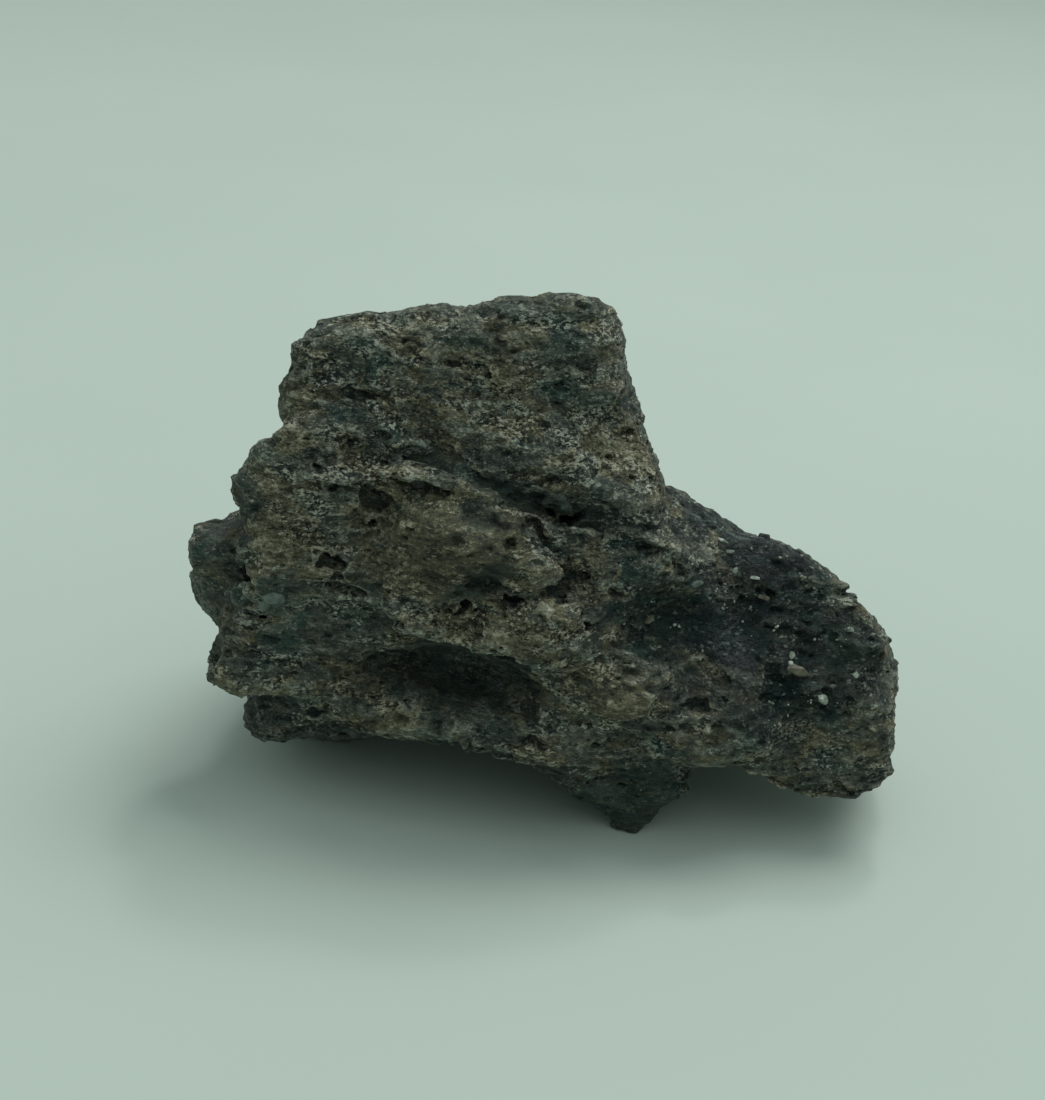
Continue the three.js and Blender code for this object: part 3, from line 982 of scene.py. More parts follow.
@dataclass
class Tree:
    """A small helper that adds nodes to a tree."""

    tree: bpy.types.NodeTree

    def node(self, kind: str, **settings: object) -> bpy.types.Node:
        """Adds a node.

        Args:
            kind: Its type.
            settings: Its settings by name.

        Returns:
            The node.
        """
        made = self.tree.nodes.new(kind)
        for name, value in settings.items():
            setattr(made, name, value)
        return made

    def put(self, value: object, socket: Socket) -> None:
        """Gives an input its value.

        Args:
            value: A socket to link it to, or a plain value.
            socket: The input.
        """
        if isinstance(value, Socket):
            self.tree.links.new(value, socket)
        elif isinstance(value, tuple) and socket.type == "RGBA":
            socket.default_value = (*value, 1.0)
        else:
            socket.default_value = value

    def fill(self, node: bpy.types.Node, *values: object, **named: object) -> bpy.types.Node:
        """Fills a node's first inputs in their order, and others by their names.

        Args:
            node: The node.
            values: Sockets or plain values for its first inputs.
            named: The same for other inputs, with _ for each space of a name.

        Returns:
            The node.
        """
        for value, socket in zip(values, node.inputs):
            self.put(value, socket)
        for name, value in named.items():
            self.put(value, node.inputs[name.replace("_", " ")])
        return node

    def between(self, node: bpy.types.Node, index: int, first: object, second: object) -> bpy.types.Node:
        """Fills a node's two inputs that follow each other from an index.

        Args:
            node: The node.
            index: Which input is the first of the two.
            first: Its socket or plain value.
            second: The same for the next input.

        Returns:
            The node.
        """
        self.put(first, node.inputs[index])
        self.put(second, node.inputs[index + 1])
        return node

    def math(self, operation: str, *values: object, clamp: bool = False) -> Socket:
        """Adds a sum of one to three numbers."""
        made = self.node("ShaderNodeMath", operation=operation, use_clamp=clamp)
        return self.fill(made, *values).outputs[0]

    def vector(self, operation: str, *values: object, **named: object) -> bpy.types.Node:
        """Adds a sum of vectors."""
        return self.fill(self.node("ShaderNodeVectorMath", operation=operation), *values, **named)

    def height(self, vector: Socket) -> Socket:
        """Takes the third part of a vector."""
        return self.fill(self.node("ShaderNodeSeparateXYZ"), vector).outputs[2]


class Graph(Tree):
    """A small helper that builds a material's nodes."""

    def __init__(self, name: str) -> None:
        """Makes the material and clears its nodes.

        Args:
            name: The material's name.
        """
        self.material = bpy.data.materials.new(name)
        self.material.use_nodes = True
        super().__init__(self.material.node_tree)
        self.tree.nodes.clear()

    def step(self, value: object, low: float, high: float) -> Socket:
        """Adds a smooth rise from 0 at low to 1 at high."""
        made = self.node("ShaderNodeMapRange", interpolation_type="SMOOTHSTEP")
        return self.fill(made, Value=value, From_Min=low, From_Max=high).outputs["Result"]

    def total(self, *parts: tuple[object, float]) -> Socket:
        """Adds up values, each times its own weight.

        Args:
            parts: Each value with its weight.

        Returns:
            The total.
        """
        result = self.math("MULTIPLY", *parts[0])
        for value, weight in parts[1:]:
            result = self.math("MULTIPLY_ADD", value, weight, result)
        return result

    def ramp(self, value: object, stops: tuple[tuple[float, Colour], ...], span: Span) -> Socket:
        """Adds a colour ramp.

        Args:
            value: What picks the colour.
            stops: Values and their colours.
            span: The values at the ramp's two ends.

        Returns:
            The colour.
        """
        low, high = span
        share = self.math("MULTIPLY", self.math("SUBTRACT", value, low), 1 / (high - low))
        made = self.fill(self.node("ShaderNodeValToRGB"), share)
        elements = made.color_ramp.elements
        while len(elements) < len(stops):
            elements.new(1.0)
        for element, (at, colour) in zip(elements, stops):
            element.position = (at - low) / (high - low)
            element.color = (*colour, 1.0)
        return made.outputs["Color"]

    def mix(self, share: object, first: object, second: object) -> Socket:
        """Adds a blend of two colours."""
        made = self.fill(self.node("ShaderNodeMix", data_type="RGBA"), share)
        return self.between(made, 6, first, second).outputs[2]

    def blend(self, share: object, first: object, second: object) -> Socket:
        """Adds a blend of two numbers."""
        made = self.fill(self.node("ShaderNodeMix", data_type="FLOAT"), share)
        return self.between(made, 2, first, second).outputs[0]

    def attribute(self, name: str) -> Socket:
        """Reads a number stored on the mesh."""
        return self.node("ShaderNodeAttribute", attribute_name=name).outputs["Fac"]

    def place(self, scale: Triple = (1.0, 1.0, 1.0), turn: Triple = (0.0, 0.0, 0.0)) -> Socket:
        """Adds object coordinates in scaled millimetres.

        Args:
            scale: Scale along x, y and z.
            turn: Turns about x, y and z, in radians.

        Returns:
            The coordinates.
        """
        coordinates = self.node("ShaderNodeTexCoord").outputs["Object"]
        mapping = self.node("ShaderNodeMapping", vector_type="POINT")
        scale = tuple(v / METRE for v in scale)
        return self.fill(mapping, Vector=coordinates, Scale=scale, Rotation=turn).outputs["Vector"]

    def noise(self, vector: Socket, scale: float, detail: float, rough: float, bend: float = 0.0) -> Socket:
        """Adds a noise pattern.

        Args:
            vector: Where to draw it.
            scale: Its waves in each millimetre.
            detail: How many finer layers it has.
            rough: How strong they are.
            bend: How far it is bent.

        Returns:
            The pattern, from 0 to 1.
        """
        made = self.node("ShaderNodeTexNoise")
        self.fill(made, Vector=vector, Scale=scale, Detail=detail, Roughness=rough, Distortion=bend)
        return made.outputs["Fac"]

    def voronoi(self, vector: Socket, scale: float, feature: str = "F1") -> bpy.types.Node:
        """Adds a pattern of scattered points and the cells round them."""
        return self.fill(self.node("ShaderNodeTexVoronoi", feature=feature), Vector=vector, Scale=scale)

    def swayed(self, vector: Socket, scale: float, reach: float) -> Socket:
        """Moves a vector about, so that what is drawn with it gets ragged."""
        sway = self.fill(self.node("ShaderNodeTexNoise"), Vector=vector, Scale=scale)
        return self.vector("MULTIPLY_ADD", sway.outputs["Color"], (reach,) * 3, vector).outputs[0]

    def chips(self, vector: Socket, scale: float, edge: float = 0.0) -> Chips:
        """Adds a mosaic of ragged chips.

        Args:
            vector: Where to draw it.
            scale: Chips in each millimetre.
            edge: Width of the lines drawn between chips, as a share of a chip. 0 draws none.

        Returns:
            The mosaic's sockets.
        """
        moved = self.swayed(vector, 1.7 * scale, 1.1 / scale)
        cell = self.voronoi(moved, scale).outputs
        parts = self.fill(self.node("ShaderNodeSeparateColor"), cell["Color"])
        way = self.vector("SUBTRACT", moved, cell["Position"]).outputs[0]
        lean = self.vector("SUBTRACT", cell["Color"], (0.5, 0.5, 0.5)).outputs[0]
        slope = self.vector("DOT_PRODUCT", way, lean).outputs["Value"]
        line = None
        if edge:
            gap = self.voronoi(moved, scale, "DISTANCE_TO_EDGE").outputs["Distance"]
            line = self.step(gap, edge, 0.2 * edge)
        return Chips(*parts.outputs[:3], self.math("MULTIPLY", slope, scale), line)

    def bump(self, height: Socket, distance: float, strength: float) -> Socket:
        """Turns a height pattern into a bumpy normal."""
        made = self.node("ShaderNodeBump")
        return self.fill(made, Strength=strength, Distance=distance, Height=height).outputs["Normal"]

    def finish(self, **sockets: object) -> bpy.types.Material:
        """Adds the shader and the output.

        Args:
            sockets: The shader's inputs, with _ for each space of a name.

        Returns:
            The material.
        """
        shader = self.fill(self.node("ShaderNodeBsdfPrincipled"), **sockets)
        self.fill(self.node("ShaderNodeOutputMaterial"), shader.outputs["BSDF"])
        return self.material


class GlassGraph(Graph):
    """The glass's nodes: its patterns, and the colour and relief drawn with them.

    Attributes:
        dark, grey, green, tan, amber: Where each finish shows.
        hollow, shade: How open the skin is close by, and farther round; the tone is darkened with them as
            painted shade.
        bed, plate_tone, plate_hue: Random tones of the beds and plates.
        broken, calm: How broken the ledges are, and how smooth the glass.
        blotch, patch, streak, grain, speck: Noises, from broad to fine.
        chip, flake, crumb: Mosaics, from coarse to fine.
        glitter: Where the froth's specks are strong.
        lines: Fine pale lines between chips and between flakes.
        pit: Fine gas pits, dented in the relief and painted dark inside as painted shade.
        loud: How strong the speckle is, stronger high on the lump.
        ledge, lamina: Place within each ledge and each lamina, from 0 to 1.
        lip: Painted highlights on the lips and painted shade at the roots of the ledges and laminae.
        tone: How pale the froth is, from 0 in the pits to about 1 on the crests.
    """

    def __init__(self, look: GlassFinish) -> None:
        """Reads the skin's attributes and adds the patterns.

        Args:
            look: The glass's colours and sizes.
        """
        super().__init__(look.name)
        self.look = look
        self.dark, self.grey, self.green, self.tan, self.amber = (self.attribute(t.value) for t in Tone)
        self.hollow, self.shade, self.bed = (self.attribute(name) for name in ("hollow", "shade", "bed"))
        self.plate_tone, self.plate_hue = self.attribute("plate_tone"), self.attribute("plate_hue")
        self.broken, self.calm = self.attribute("broken"), self.attribute("calm")

        even, beds = self.place(), self.place((0.54, 0.54, 1.3), look.bed_turn)
        self.blotch = self.noise(even, 0.16, 2.0, 0.55)
        self.patch = self.noise(beds, 0.75, 3.0, 0.6, 0.5)
        self.streak = self.noise(beds, 2.0, 4.0, 0.66, 0.3)
        self.grain = self.noise(even, 3.4, 4.0, 0.75)
        self.speck = self.noise(self.place((0.8, 0.8, 1.5), look.bed_turn), 7.5, 2.0, 0.6)
        self.chip = self.chips(beds, 1.15, 0.055)
        self.flake = self.chips(beds, 2.9, 0.075)
        self.crumb = self.chips(self.place((0.85, 0.85, 1.4), look.bed_turn), 5.0)
        glitter = self.total((self.attribute("plate_glitter"), 0.55), (self.chip.kind, 0.45))
        self.glitter = self.step(glitter, 0.5, 0.72)
        self.lines = self.total(
            (self.math("MULTIPLY", self.chip.line, self.step(self.grain, 0.42, 0.58)), 1.0),
            (self.math("MULTIPLY", self.flake.line, self.step(self.speck, 0.45, 0.6)), 0.8),
        )
        # gas pits: painted shade inside them in the tone, and dents in the relief
        pits = self.voronoi(self.place((0.8, 0.8, 1.25), look.bed_turn), 1.7).outputs["Distance"]
        self.pit = self.math("MULTIPLY", self.step(pits, 0.26, 0.14), self.step(self.patch, 0.48, 0.58))
        self.loud = self.blend(self.step(self.height(even), 13.0, 28.0), 0.74, 1.15)

        rise = self.height(beds)
        self.ledge = self.math("FRACT", self.total((rise, 1.05), (self.patch, 3.0), (self.streak, 1.4)))
        self.lamina = self.math("FRACT", self.total((rise, 2.5), (self.streak, 3.0), (self.grain, 1.0)))
        # painted highlight on each ledge's lip and painted shade at its root, as if lit from above
        lip = self.total((self.step(self.ledge, 0.2, 0.0), 0.8), (self.step(self.ledge, 0.70, 0.98), -1.0))
        self.lip = self.total(
            (self.math("MULTIPLY", lip, self.total((self.broken, 0.8), (1.0, 0.25))), 1.0),
            (self.step(self.lamina, 0.3, 0.0), 0.3), (self.step(self.lamina, 0.65, 0.98), -0.4),
        )
        self.tone = self.paleness()

    def paleness(self) -> Socket:
        """Adds the tone of the froth, with painted highlights on the ledge lips and painted shade under the
        ledges, in the pits and in the hollows.

        Returns:
            The tone.
        """
        shine = self.math("MULTIPLY", self.blend(self.glitter, 0.35, 1.25), self.blend(self.amber, 1.0, 0.6))
        fine = self.total((self.grain, 1.7), (self.speck, 2.0), (self.crumb.tone, 1.2), (1.0, -2.45))
        speckle = self.total(
            (1.0, -0.28), (self.math("MULTIPLY", fine, shine), 1.0),
            (self.chip.tone, 0.30), (self.flake.tone, 0.22), (self.lines, 0.34),
        )
        return self.total(
            (1.0, -0.015), (self.blotch, 0.4), (self.patch, 0.43), (self.streak, 0.45),
            (self.math("MULTIPLY", speckle, self.loud), 1.0),
            # painted highlight and shade along the ledges, and painted shade in the gas pits
            (self.plate_tone, 0.20), (self.lip, 0.26), (self.pit, -0.4),
            # painted shade in the hollows, near and farther round; crests a little paler
            (self.hollow, -0.20), (self.step(self.hollow, 0.42, 0.2), 0.14), (self.shade, -0.10),
            (self.tan, 0.08), (self.amber, -0.12), (self.bed, 0.02), (self.dark, -0.25),
        )

    def froth(self) -> Socket:
        """Adds the froth's colour, from green through grey to golden froth.

        Returns:
            The colour.
        """
        hue = self.total(
            (self.blotch, 0.8), (self.patch, 0.6), (self.plate_hue, 0.34), (self.chip.hue, 0.40),
            (self.tan, 0.22), (self.amber, 0.35), (self.green, -0.35), (self.dark, -0.25),
        )
        ramps = (self.look.emerald, self.look.ashen, self.look.amber)
        green, grey, gold = (self.ramp(self.tone, stops, self.look.span) for stops in ramps)
        colour = self.mix(self.step(hue, 0.66, 0.88), green, grey)
        return self.mix(self.step(hue, 1.02, 1.30), colour, gold)

    def clean(self) -> Socket:
        """Adds the dark glass's colour, black to olive with a few pale painted glints.

        Returns:
            The colour.
        """
        share = self.total((self.grain, 0.5), (self.chip.tone, 0.3), (self.crumb.tone, 0.2))
        clean = self.mix(self.step(share, 0.45, 0.7), self.look.black, self.look.olive)
        # painted glints: pale dots, fewer where the glass is calm
        lit = self.step(self.total((self.grain, 0.5), (self.patch, 0.5)), 0.47, 0.56)
        painted_glint = self.math("MULTIPLY", self.step(self.crumb.kind, 0.86, 0.95), lit)
        painted_glint = self.math("MULTIPLY", painted_glint, self.blend(self.calm, 0.75, 0.12))
        return self.mix(painted_glint, clean, self.look.pale)

    def chipped(self, pattern: Socket, weight: float, low: float, first: Colour, second: Colour) -> Socket:
        """Adds a colour that changes from chip to chip.

        Args:
            pattern: The noise that it also follows.
            weight: How closely it follows the noise.
            low: Where it starts to change.
            first: The colour below that.
            second: The colour that it changes to.

        Returns:
            The colour.
        """
        share = self.total((pattern, weight), (self.chip.tone, 0.4))
        return self.mix(self.step(share, low, 0.7), first, second)

    def colour(self) -> Socket:
        """Adds the glass's colour, zone over zone.

        Returns:
            The colour.
        """
        # grey glass, also used as painted shade in the gash, under the boss and in the cavity
        slate_glass_and_shade = self.chipped(self.streak, 0.6, 0.2, self.look.slate, self.look.grey)
        leaf = self.chipped(self.grain, 0.6, 0.3, self.look.olive, self.look.green)
        colour = self.froth()
        for mask, share, over in (
            (self.dark, 0.98, self.clean()), (self.grey, 0.75, slate_glass_and_shade), (self.green, 0.65, leaf),
            # painted fill light: the deepest hollows are lifted towards a paler colour
            (self.step(self.shade, 0.6, 0.95), 0.5, self.look.painted_fill_light),
        ):
            colour = self.mix(self.math("MULTIPLY", mask, share), colour, over)
        return colour

    def roughness(self) -> Socket:
        """Adds the roughness: dusty where the froth is pale, glossy on dark glass.

        Returns:
            The roughness.
        """
        smooth = self.math("MAXIMUM", self.math("MAXIMUM", self.dark, self.grey), self.green, clamp=True)
        froth = self.math("SUBTRACT", 1.0, smooth, clamp=True)
        dusty = self.math("MULTIPLY", self.step(self.tone, 0.3, 0.6), froth)
        rough = self.blend(dusty, self.blend(self.step(self.grain, 0.35, 0.65), 0.25, 0.55), 0.85)
        return self.blend(self.math("MULTIPLY", self.dark, 0.75), rough, 0.17)

    def relief(self) -> Socket:
        """Adds the height of what is finer than the mesh.

        Returns:
            The height.
        """
        cut = self.math("MULTIPLY", self.ledge, self.total((self.broken, -0.75), (1.0, -0.2)))
        height = self.total(
            (self.grain, 0.6), (self.speck, 0.35), (self.pit, -0.55), (cut, 1.0),
            (self.lamina, -0.24), (self.lines, 0.10), (self.chip.slope, 0.8), (self.chip.tone, 0.35),
            (self.flake.slope, 0.4), (self.flake.tone, 0.25), (self.crumb.slope, 0.2),
        )
        return self.math("MULTIPLY", height, self.blend(self.calm, 1.0, 0.3))


@dataclass(frozen=True)
class GlassFinish:
    """Dark olive impact glass, dusted tan on its frothy crests.

    Args:
        name: The material's name.
        black: Cleanest dark glass.
        olive: Dark glass where it is grainy.
        pale: Colour of the painted glints in the dark glass.
        slate: Grey glass at its darkest, also laid as painted shade in a few zones.
        grey: Grey glass at its palest, also laid as painted shade in a few zones.
        green: Green glass at its palest.
        painted_fill_light: Painted fill light, a paler colour laid over the deepest hollows in place of part
            of their shade.
        gloss: Strength of the mirror-like reflection.
        span: Tones at the ends of the three colour ramps.
        amber: Tones and colours of golden froth.
        ashen: Tones and colours of grey froth.
        emerald: Tones and colours of green froth.
        bed_turn: Turn that lays a pattern along the beds, in radians.
        bump_height: Height of the finest relief, in millimetres.
    """

    name: str = "impact_glass"
    black: Colour = (0.002, 0.007, 0.008)
    olive: Colour = (0.011, 0.022, 0.022)
    pale: Colour = (0.34, 0.40, 0.34)
    slate: Colour = (0.017, 0.033, 0.030)
    grey: Colour = (0.047, 0.062, 0.050)
    green: Colour = (0.030, 0.062, 0.042)
    # Painted fill light for the deepest hollows.
    painted_fill_light: Colour = (0.042, 0.062, 0.057)
    gloss: float = 0.2
    span: Span = (0.0, 1.3)
    amber: tuple[tuple[float, Colour], ...] = (
        (0.05, (0.023, 0.026, 0.021)), (0.35, (0.052, 0.053, 0.034)), (0.65, (0.116, 0.112, 0.070)),
        (0.95, (0.236, 0.227, 0.150)), (1.25, (0.45, 0.44, 0.33)),
    )
    ashen: tuple[tuple[float, Colour], ...] = (
        (0.05, (0.018, 0.026, 0.024)), (0.35, (0.044, 0.053, 0.043)), (0.65, (0.100, 0.114, 0.091)),
        (0.95, (0.220, 0.235, 0.186)), (1.25, (0.45, 0.47, 0.38)),
    )
    emerald: tuple[tuple[float, Colour], ...] = (
        (0.05, (0.013, 0.026, 0.026)), (0.35, (0.026, 0.048, 0.042)), (0.65, (0.059, 0.092, 0.075)),
        (0.95, (0.165, 0.215, 0.175)), (1.25, (0.42, 0.50, 0.42)),
    )
    bed_turn: Triple = (-0.155, 0.119, 0.0)
    bump_height: float = 0.3

    def material(self) -> bpy.types.Material:
        """Builds the material.

        Returns:
            The material.
        """
        g = GlassGraph(self)
        bumps = g.bump(g.relief(), self.bump_height * METRE, 1.0)
        return g.finish(
            Base_Color=g.colour(), Roughness=g.roughness(), Normal=bumps, Specular_IOR_Level=self.gloss
        )


@dataclass(frozen=True)
class CrumbFinish:
    """A tiny loose or fused grain on the skin.

    Args:
        name: The material's name.
        light: Its palest colour.
        deep: Its darkest colour.
        roughness: How matt it is.
    """

    name: str
    light: Colour
    deep: Colour
    roughness: float

    def material(self) -> bpy.types.Material:
        """Builds the material.

        Returns:
            The material.
        """
        g = Graph(self.name)
        tint = g.noise(g.place(), 1.7, 3.0, 0.7)
        fine = g.noise(g.place(), 9.0, 2.0, 0.6)
        return g.finish(
            Base_Color=g.mix(g.step(tint, 0.35, 0.65), self.deep, self.light),
            Roughness=self.roughness,
            Normal=g.bump(fine, 0.05 * METRE, 0.5),
        )


@dataclass(frozen=True)
class FloorFinish:
    """Pale matt floor with a painted fall-off of the light: it darkens with distance from the middle.

    Args:
        name: The material's name.
        light: Its palest colour near the lump.
        deep: Its darkest colour near the lump.
        far: Its colour far away, where the painted fall-off of the light is darkest.
        pool: Distances at which the painted fall-off starts to darken it, and at which it has its far
            colour, in millimetres.
    """

    name: str = "studio_floor"
    light: Colour = (0.515, 0.60, 0.54)
    deep: Colour = (0.495, 0.58, 0.52)
    far: Colour = (0.37, 0.43, 0.39)
    pool: Span = (40.0, 800.0)

    def material(self) -> bpy.types.Material:
        """Builds the material.

        Returns:
            The material.
        """
        g = Graph(self.name)
        place = g.place()
        cloud = g.noise(place, 0.012, 3.0, 0.5)
        near = g.mix(g.step(cloud, 0.3, 0.7), self.deep, self.light)
        # painted fall-off of the light: darker with distance from the middle
        reach = g.vector("LENGTH", place).outputs["Value"]
        return g.finish(Base_Color=g.mix(g.step(reach, *self.pool), near, self.far), Roughness=0.9)


# ------------------------------------------------------------------------- grains


@dataclass
class Grains:
    """Tiny grains scattered over the skin by a Geometry Nodes tree.

    Args:
        name: The piece's name.
        finish: The grains' finish.
        density: Grains on each square metre where the mask is 1.
        smallest: Smallest radius, in metres.
        largest: Largest radius, in metres.
        mask: The skin's attribute that says where they lie.
        threshold: Mask values below this get none.
        seed: Seed of the scatter.
        floor_gap: Least height above the floor, in metres.
        lumpy: Scale of the noise that dents a grain.
        stretch: Least and largest stretch of a grain along its own axes.
    """

    name: str
    finish: CrumbFinish
    density: float
    smallest: float
    largest: float
    mask: str
    threshold: float
    seed: int
    floor_gap: float = 0.0006
    lumpy: float = 1.3
    stretch: tuple[Triple, Triple] = ((0.7, 0.7, 0.5), (1.5, 1.1, 0.9))

    def inputs(self) -> dict[str, tuple[str, object]]:
        """Lists the tree's inputs.

        Returns:
            Each input's name, with its kind of socket and its value.
        """
        return {
            "Density": ("Float", self.density),
            "Smallest": ("Float", self.smallest),
            "Largest": ("Float", self.largest),
            "Threshold": ("Float", self.threshold),
            "Floor Gap": ("Float", self.floor_gap),
            "Seed": ("Int", self.seed),
            "Finish": ("Material", self.finish.material()),
        }

    def grain(self, g: Tree) -> Socket:
        """Adds the shape of one grain.

        Args:
            g: The scatter's nodes.

        Returns:
            A dented ball with a radius of 1.
        """
        ball = g.fill(g.node("GeometryNodeMeshIcoSphere"), Radius=1.0, Subdivisions=1)
        dents = g.fill(g.node("ShaderNodeTexNoise"), Scale=self.lumpy).outputs["Color"]
        offset = g.vector("SUBTRACT", dents, (0.5, 0.5, 0.5)).outputs[0]
        shape = g.node("GeometryNodeSetPosition")
        return g.fill(shape, Geometry=ball.outputs["Mesh"], Offset=offset).outputs["Geometry"]

    def tree(self, kinds: dict[str, str]) -> tuple[bpy.types.NodeTree, dict[str, str]]:
        """Builds the scatter.

        Args:
            kinds: The kind of socket of each named input.

        Returns:
            The tree, and the identifier of each named input.
        """
        g = Tree(bpy.data.node_groups.new(f"{self.name}_scatter", "GeometryNodeTree"))
        face = g.tree.interface
        face.new_socket(name="Geometry", in_out="OUTPUT", socket_type="NodeSocketGeometry")
        named = {
            label: face.new_socket(name=label, in_out="INPUT", socket_type=f"NodeSocket{kind}").identifier
            for label, kind in {"Geometry": "Geometry", **kinds}.items()
        }
        asked = g.node("NodeGroupInput").outputs

        mask = g.fill(g.node("GeometryNodeInputNamedAttribute", data_type="FLOAT"), Name=self.mask)
        over = g.math("MAXIMUM", g.math("SUBTRACT", mask.outputs["Attribute"], asked["Threshold"]), 0.0)
        height = g.height(g.node("GeometryNodeInputPosition").outputs[0])
        above = g.math("GREATER_THAN", height, asked["Floor Gap"])
        density = g.math("MULTIPLY", g.math("MULTIPLY", over, asked["Density"]), above)
        scatter = g.node("GeometryNodeDistributePointsOnFaces")
        g.fill(scatter, Mesh=asked["Geometry"], Density=density, Seed=asked["Seed"])

        size = g.node("FunctionNodeRandomValue", data_type="FLOAT")
        g.between(size, 2, asked["Smallest"], asked["Largest"])
        shares, spin = (
            g.fill(g.node("FunctionNodeRandomValue", data_type="FLOAT_VECTOR"), *limits).outputs[0]
            for limits in (self.stretch, ((0.0,) * 3, (math.tau,) * 3))
        )
        plant = g.fill(
            g.node("GeometryNodeInstanceOnPoints"),
            Points=scatter.outputs["Points"],
            Instance=self.grain(g),
            Rotation=spin,
            Scale=g.vector("SCALE", shares, Scale=size.outputs[1]).outputs[0],
        )
        real = g.fill(g.node("GeometryNodeRealizeInstances"), plant.outputs["Instances"])
        paint = g.node("GeometryNodeSetMaterial")
        g.fill(paint, Geometry=real.outputs["Geometry"], Material=asked["Finish"])
        g.fill(g.node("NodeGroupOutput"), paint.outputs["Geometry"])
        return g.tree, named

    def build(self, skin: bpy.types.Object) -> bpy.types.Object:
        """Scatters the grains over the skin.

        Args:
            skin: The dressed skin.

        Returns:
            The grains as one plain mesh.
        """
        inputs = self.inputs()
        tree, named = self.tree({label: kind for label, (kind, _) in inputs.items()})
        rough = placed(f"{self.name}_bed", skin.data.copy())
        modifier = rough.modifiers.new("scatter", "NODES")
        modifier.node_group = tree
        for label, (_, value) in inputs.items():
            modifier[named[label]] = value
        return bake(rough, self.name)


@dataclass(frozen=True)
class Shard:
    """One grain or splinter that stands out on the skin."""

    blob: Blob
    finish: CrumbFinish


DUSTY = CrumbFinish("tan_dust", (0.17, 0.155, 0.10), (0.060, 0.053, 0.034), 0.85)
MILKY = CrumbFinish("milky_grain", (0.38, 0.43, 0.36), (0.12, 0.15, 0.12), 0.4)
HONEY = CrumbFinish("honey_grain", (0.15, 0.14, 0.095), (0.06, 0.055, 0.038), 0.5)
CELADON = CrumbFinish("celadon_chip", (0.12, 0.155, 0.125), (0.055, 0.078, 0.064), 0.45)

GRAINS = (
    Grains(
        name="dust_crumbs", finish=DUSTY, density=6.0e6, smallest=0.00006, largest=0.00016,
        mask=Tone.TAN.value, threshold=0.0, seed=5,
    ),
    Grains(
        name="clear_grains", finish=MILKY, density=1.7e6, smallest=0.00004, largest=0.00012,
        mask="grainy", threshold=0.1, seed=9,
    ),
    Grains(
        name="pale_grains", finish=MILKY, density=0.45e6, smallest=0.00009, largest=0.0002,
        mask="grainy", threshold=0.1, seed=21,
    ),
)

SHARDS = (
    Shard(Blob("white dot", (16.0, -9.0, 14.1), (0.30, 0.3, 0.34)), MILKY),
    Shard(Blob("white dot below", (15.6, -9.2, 13.5), (0.22, 0.25, 0.2)), MILKY),
    Shard(Blob("tan grain", (16.5, -9.45, 13.2), (0.95, 0.5, 0.42), (0, 12, 0)), HONEY),
    Shard(Blob("white grain", (18.1, -9.75, 11.5), (0.5, 0.35, 0.34), (0, 30, 0)), MILKY),
    Shard(Blob("yellow grain", (6.0, -9.9, 15.9), (0.62, 0.4, 0.32), (0, -25, 0)), HONEY),
    Shard(Blob("pale chip", (-18.9, -12.6, 15.5), (0.42, 0.4, 0.55), (0, 20, 0)), CELADON),
    Shard(Blob("green chip", (-18.2, -12.6, 16.3), (0.8, 0.4, 1.0), (0, -30, 0)), CELADON),
    Shard(Blob("glint high", (10.6, -5.9, 20.4), (0.45, 0.2, 0.14), (0, 25, 0)), MILKY),
    Shard(Blob("glint upper", (11.3, -6.1, 20.0), (0.3, 0.2, 0.2)), MILKY),
    Shard(Blob("glint middle", (11.6, -6.9, 18.9), (0.22, 0.2, 0.28)), MILKY),
    Shard(Blob("glint right", (12.9, -7.2, 18.6), (0.38, 0.2, 0.14)), MILKY),
    Shard(Blob("glint low", (14.0, -7.9, 17.4), (0.45, 0.25, 0.16), (0, 10, 0)), HONEY),
    Shard(Blob("edge glint", (19.6, -7.6, 15.6), (0.3, 0.2, 0.2)), MILKY),
    Shard(Blob("edge glint low", (20.2, -8.6, 12.6), (0.24, 0.2, 0.3)), MILKY),
    Shard(Blob("edge knob", (22.3, -6.9, 13.9), (0.5, 0.5, 0.6)), HONEY),
    Shard(Blob("pale green", (9.1, -9.5, 18.7), (0.6, 0.35, 0.34)), CELADON),
)


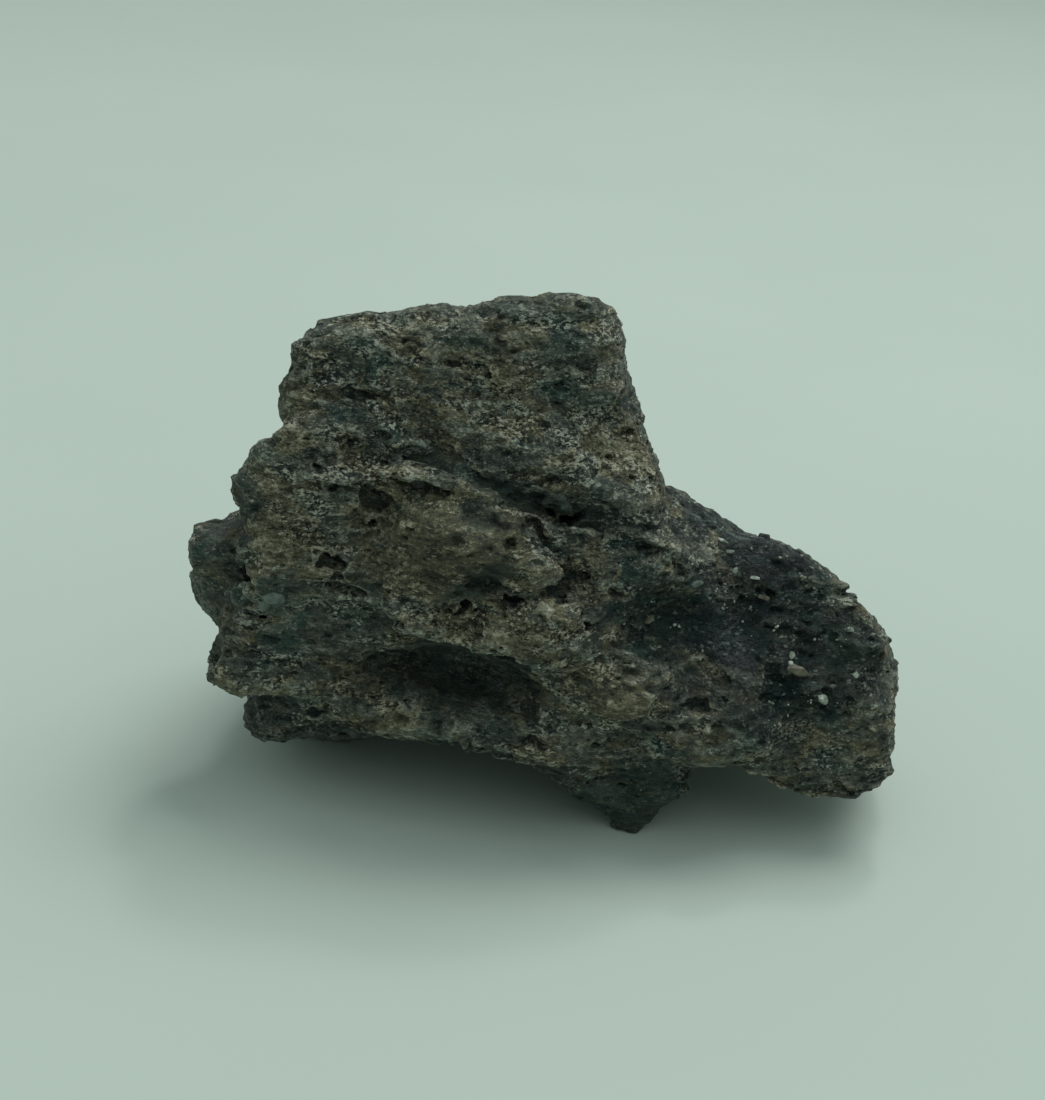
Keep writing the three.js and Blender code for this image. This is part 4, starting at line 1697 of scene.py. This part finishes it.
@dataclass(frozen=True)
class StandingShards:
    """The named shards as one mesh.

    Args:
        name: The piece's name.
        corners: How many points each shard's hull is wrapped round.
        uneven: Least and largest distance of a point from the middle, as shares of the half size.
        seed: Seed of their shapes.
    """

    name: str = "standing_shards"
    corners: int = 26
    uneven: Span = (0.8, 1.1)
    seed: int = 3

    def cloud(self, rng: np.random.Generator, blob: Blob) -> Array:
        """Draws the points that a shard's hull is wrapped round.

        Args:
            rng: Source of the random numbers.
            blob: The shard's size and lean.

        Returns:
            The points round the shard's middle, in millimetres.
        """
        ways = rng.standard_normal((self.corners, 3))
        ways /= np.linalg.norm(ways, axis=1, keepdims=True)
        turn = np.array(Euler([math.radians(v) for v in blob.lean]).to_matrix())
        local = ways * np.array(blob.half) * rng.uniform(*self.uneven, (self.corners, 1))
        return local @ turn.T

    def build(self, skin: bpy.types.Object) -> bpy.types.Object:
        """Makes the shards, each set into the nearest part of the skin.

        Args:
            skin: The skin that holds them.

        Returns:
            The shards' object.
        """
        rng = np.random.default_rng(self.seed)
        finishes = list(dict.fromkeys(shard.finish for shard in SHARDS))
        places = vertices(skin.data)
        whole = bmesh.new()
        for shard in SHARDS:
            seat = places[np.square(places - np.array(shard.blob.at)).sum(axis=1).argmin()]
            part = [whole.verts.new((point + seat) * METRE) for point in self.cloud(rng, shard.blob)]
            hull = bmesh.ops.convex_hull(whole, input=part)
            loose = {item for item in hull["geom_interior"] if isinstance(item, bmesh.types.BMVert)}
            bmesh.ops.delete(whole, geom=list(loose), context="VERTS")
            for item in hull["geom"]:
                if isinstance(item, bmesh.types.BMFace) and item.is_valid:
                    item.material_index = finishes.index(shard.finish)
        bmesh.ops.recalc_face_normals(whole, faces=whole.faces)
        mesh = bpy.data.meshes.new(self.name)
        whole.to_mesh(mesh)
        whole.free()
        for finish in finishes:
            mesh.materials.append(finish.material())
        return placed(self.name, mesh)


# ------------------------------------------------------------------------- studio


@dataclass(frozen=True)
class Lamp:
    """One square soft light that faces the lump.

    Args:
        name: Its name.
        at: Where it hangs, in metres.
        size: Its side, in metres.
        watts: Its power.
        colour: Its colour.
        mirrored: Whether glossy glass shows it.
    """

    name: str
    at: Triple
    size: float
    watts: float
    colour: Colour
    mirrored: bool = True

    def build(self) -> None:
        """Hangs the light."""
        data = bpy.data.lights.new(self.name, "AREA")
        data.shape = "SQUARE"
        data.size = self.size
        data.energy = self.watts
        data.color = self.colour
        lamp = placed(self.name, data)
        lamp.visible_glossy = self.mirrored
        lamp.location = self.at
        lamp.rotation_euler = (-Vector(self.at)).to_track_quat("-Z", "Y").to_euler()


@dataclass(frozen=True)
class Studio:
    """The pale floor, the soft lights and the camera.

    Args:
        floor_half: Half the floor's side, in metres.
        camera_at: Where the camera stands, in millimetres.
        camera_down: How far the camera looks down, in degrees.
        camera_roll: How far the camera is rolled, in degrees.
        lens: The camera's focal length, in millimetres.
        sensor: The height of the camera's sensor, in millimetres.
        sky: Colour of the light from all round.
        sky_strength: Strength of that light.
        lamps: The soft lights.
    """

    floor_half: float = 3.0
    camera_at: Triple = (-2.631, -137.523, 75.0)
    camera_down: float = 23.3
    camera_roll: float = 5.7
    lens: float = 69.97
    sensor: float = 36.0
    sky: Colour = (0.84, 1.0, 0.97)
    sky_strength: float = 0.38
    lamps: tuple[Lamp, ...] = (
        Lamp("overhead", (0.20, 0.18, 0.62), 0.42, 2.1, (1.0, 1.0, 0.98)),
        Lamp("front_fill", (0.1, -0.7, 1.15), 1.2, 2.7, (0.94, 1.0, 0.97), mirrored=False),
        Lamp("sparkle", (0.10, 0.45, 0.75), 0.10, 0.7, (1.0, 1.0, 1.0)),
    )

    def floor(self) -> bpy.types.Object:
        """Lays the floor.

        Returns:
            The floor's object.
        """
        half = self.floor_half
        corners = [(-half, -half, 0), (half, -half, 0), (half, half, 0), (-half, half, 0)]
        mesh = bpy.data.meshes.new("floor")
        mesh.from_pydata(corners, [], [(0, 1, 2, 3)])
        mesh.materials.append(FloorFinish().material())
        return placed("floor", mesh)

    def camera(self) -> None:
        """Sets the camera."""
        data = bpy.data.cameras.new("camera")
        data.sensor_fit = "VERTICAL"
        data.sensor_height = self.sensor
        data.lens = self.lens
        data.clip_start = 0.01
        camera = placed("camera", data)
        tilt = Matrix.Rotation(math.radians(90 - self.camera_down), 4, "X")
        roll = Matrix.Rotation(math.radians(self.camera_roll), 4, "Z")
        place = Matrix.Translation([v * METRE for v in self.camera_at])
        camera.matrix_world = place @ tilt @ roll
        bpy.context.scene.camera = camera

    def build(self) -> None:
        """Sets up the whole studio."""
        self.floor()
        for lamp in self.lamps:
            lamp.build()
        world = bpy.data.worlds.new("studio")
        world.use_nodes = True
        back = world.node_tree.nodes["Background"]
        back.inputs["Color"].default_value = (*self.sky, 1.0)
        back.inputs["Strength"].default_value = self.sky_strength
        bpy.context.scene.world = world
        bpy.context.scene.view_settings.view_transform = "Standard"
        self.camera()


def main() -> None:
    """Builds the lump and its studio, and reports each piece."""
    logging.basicConfig(level=logging.INFO, format="%(message)s")
    skin = Skin().build()
    scattered = [grains.build(skin) for grains in GRAINS]
    for piece in (skin, *scattered, StandingShards().build(skin)):
        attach(piece, BODY)
        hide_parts(NODE)
        mesh = piece.data
        LOG.info("%s: %d vertices, %d faces", piece.name, len(mesh.vertices), len(mesh.polygons))
    Studio().build()


if __name__ == "__main__":
    main()
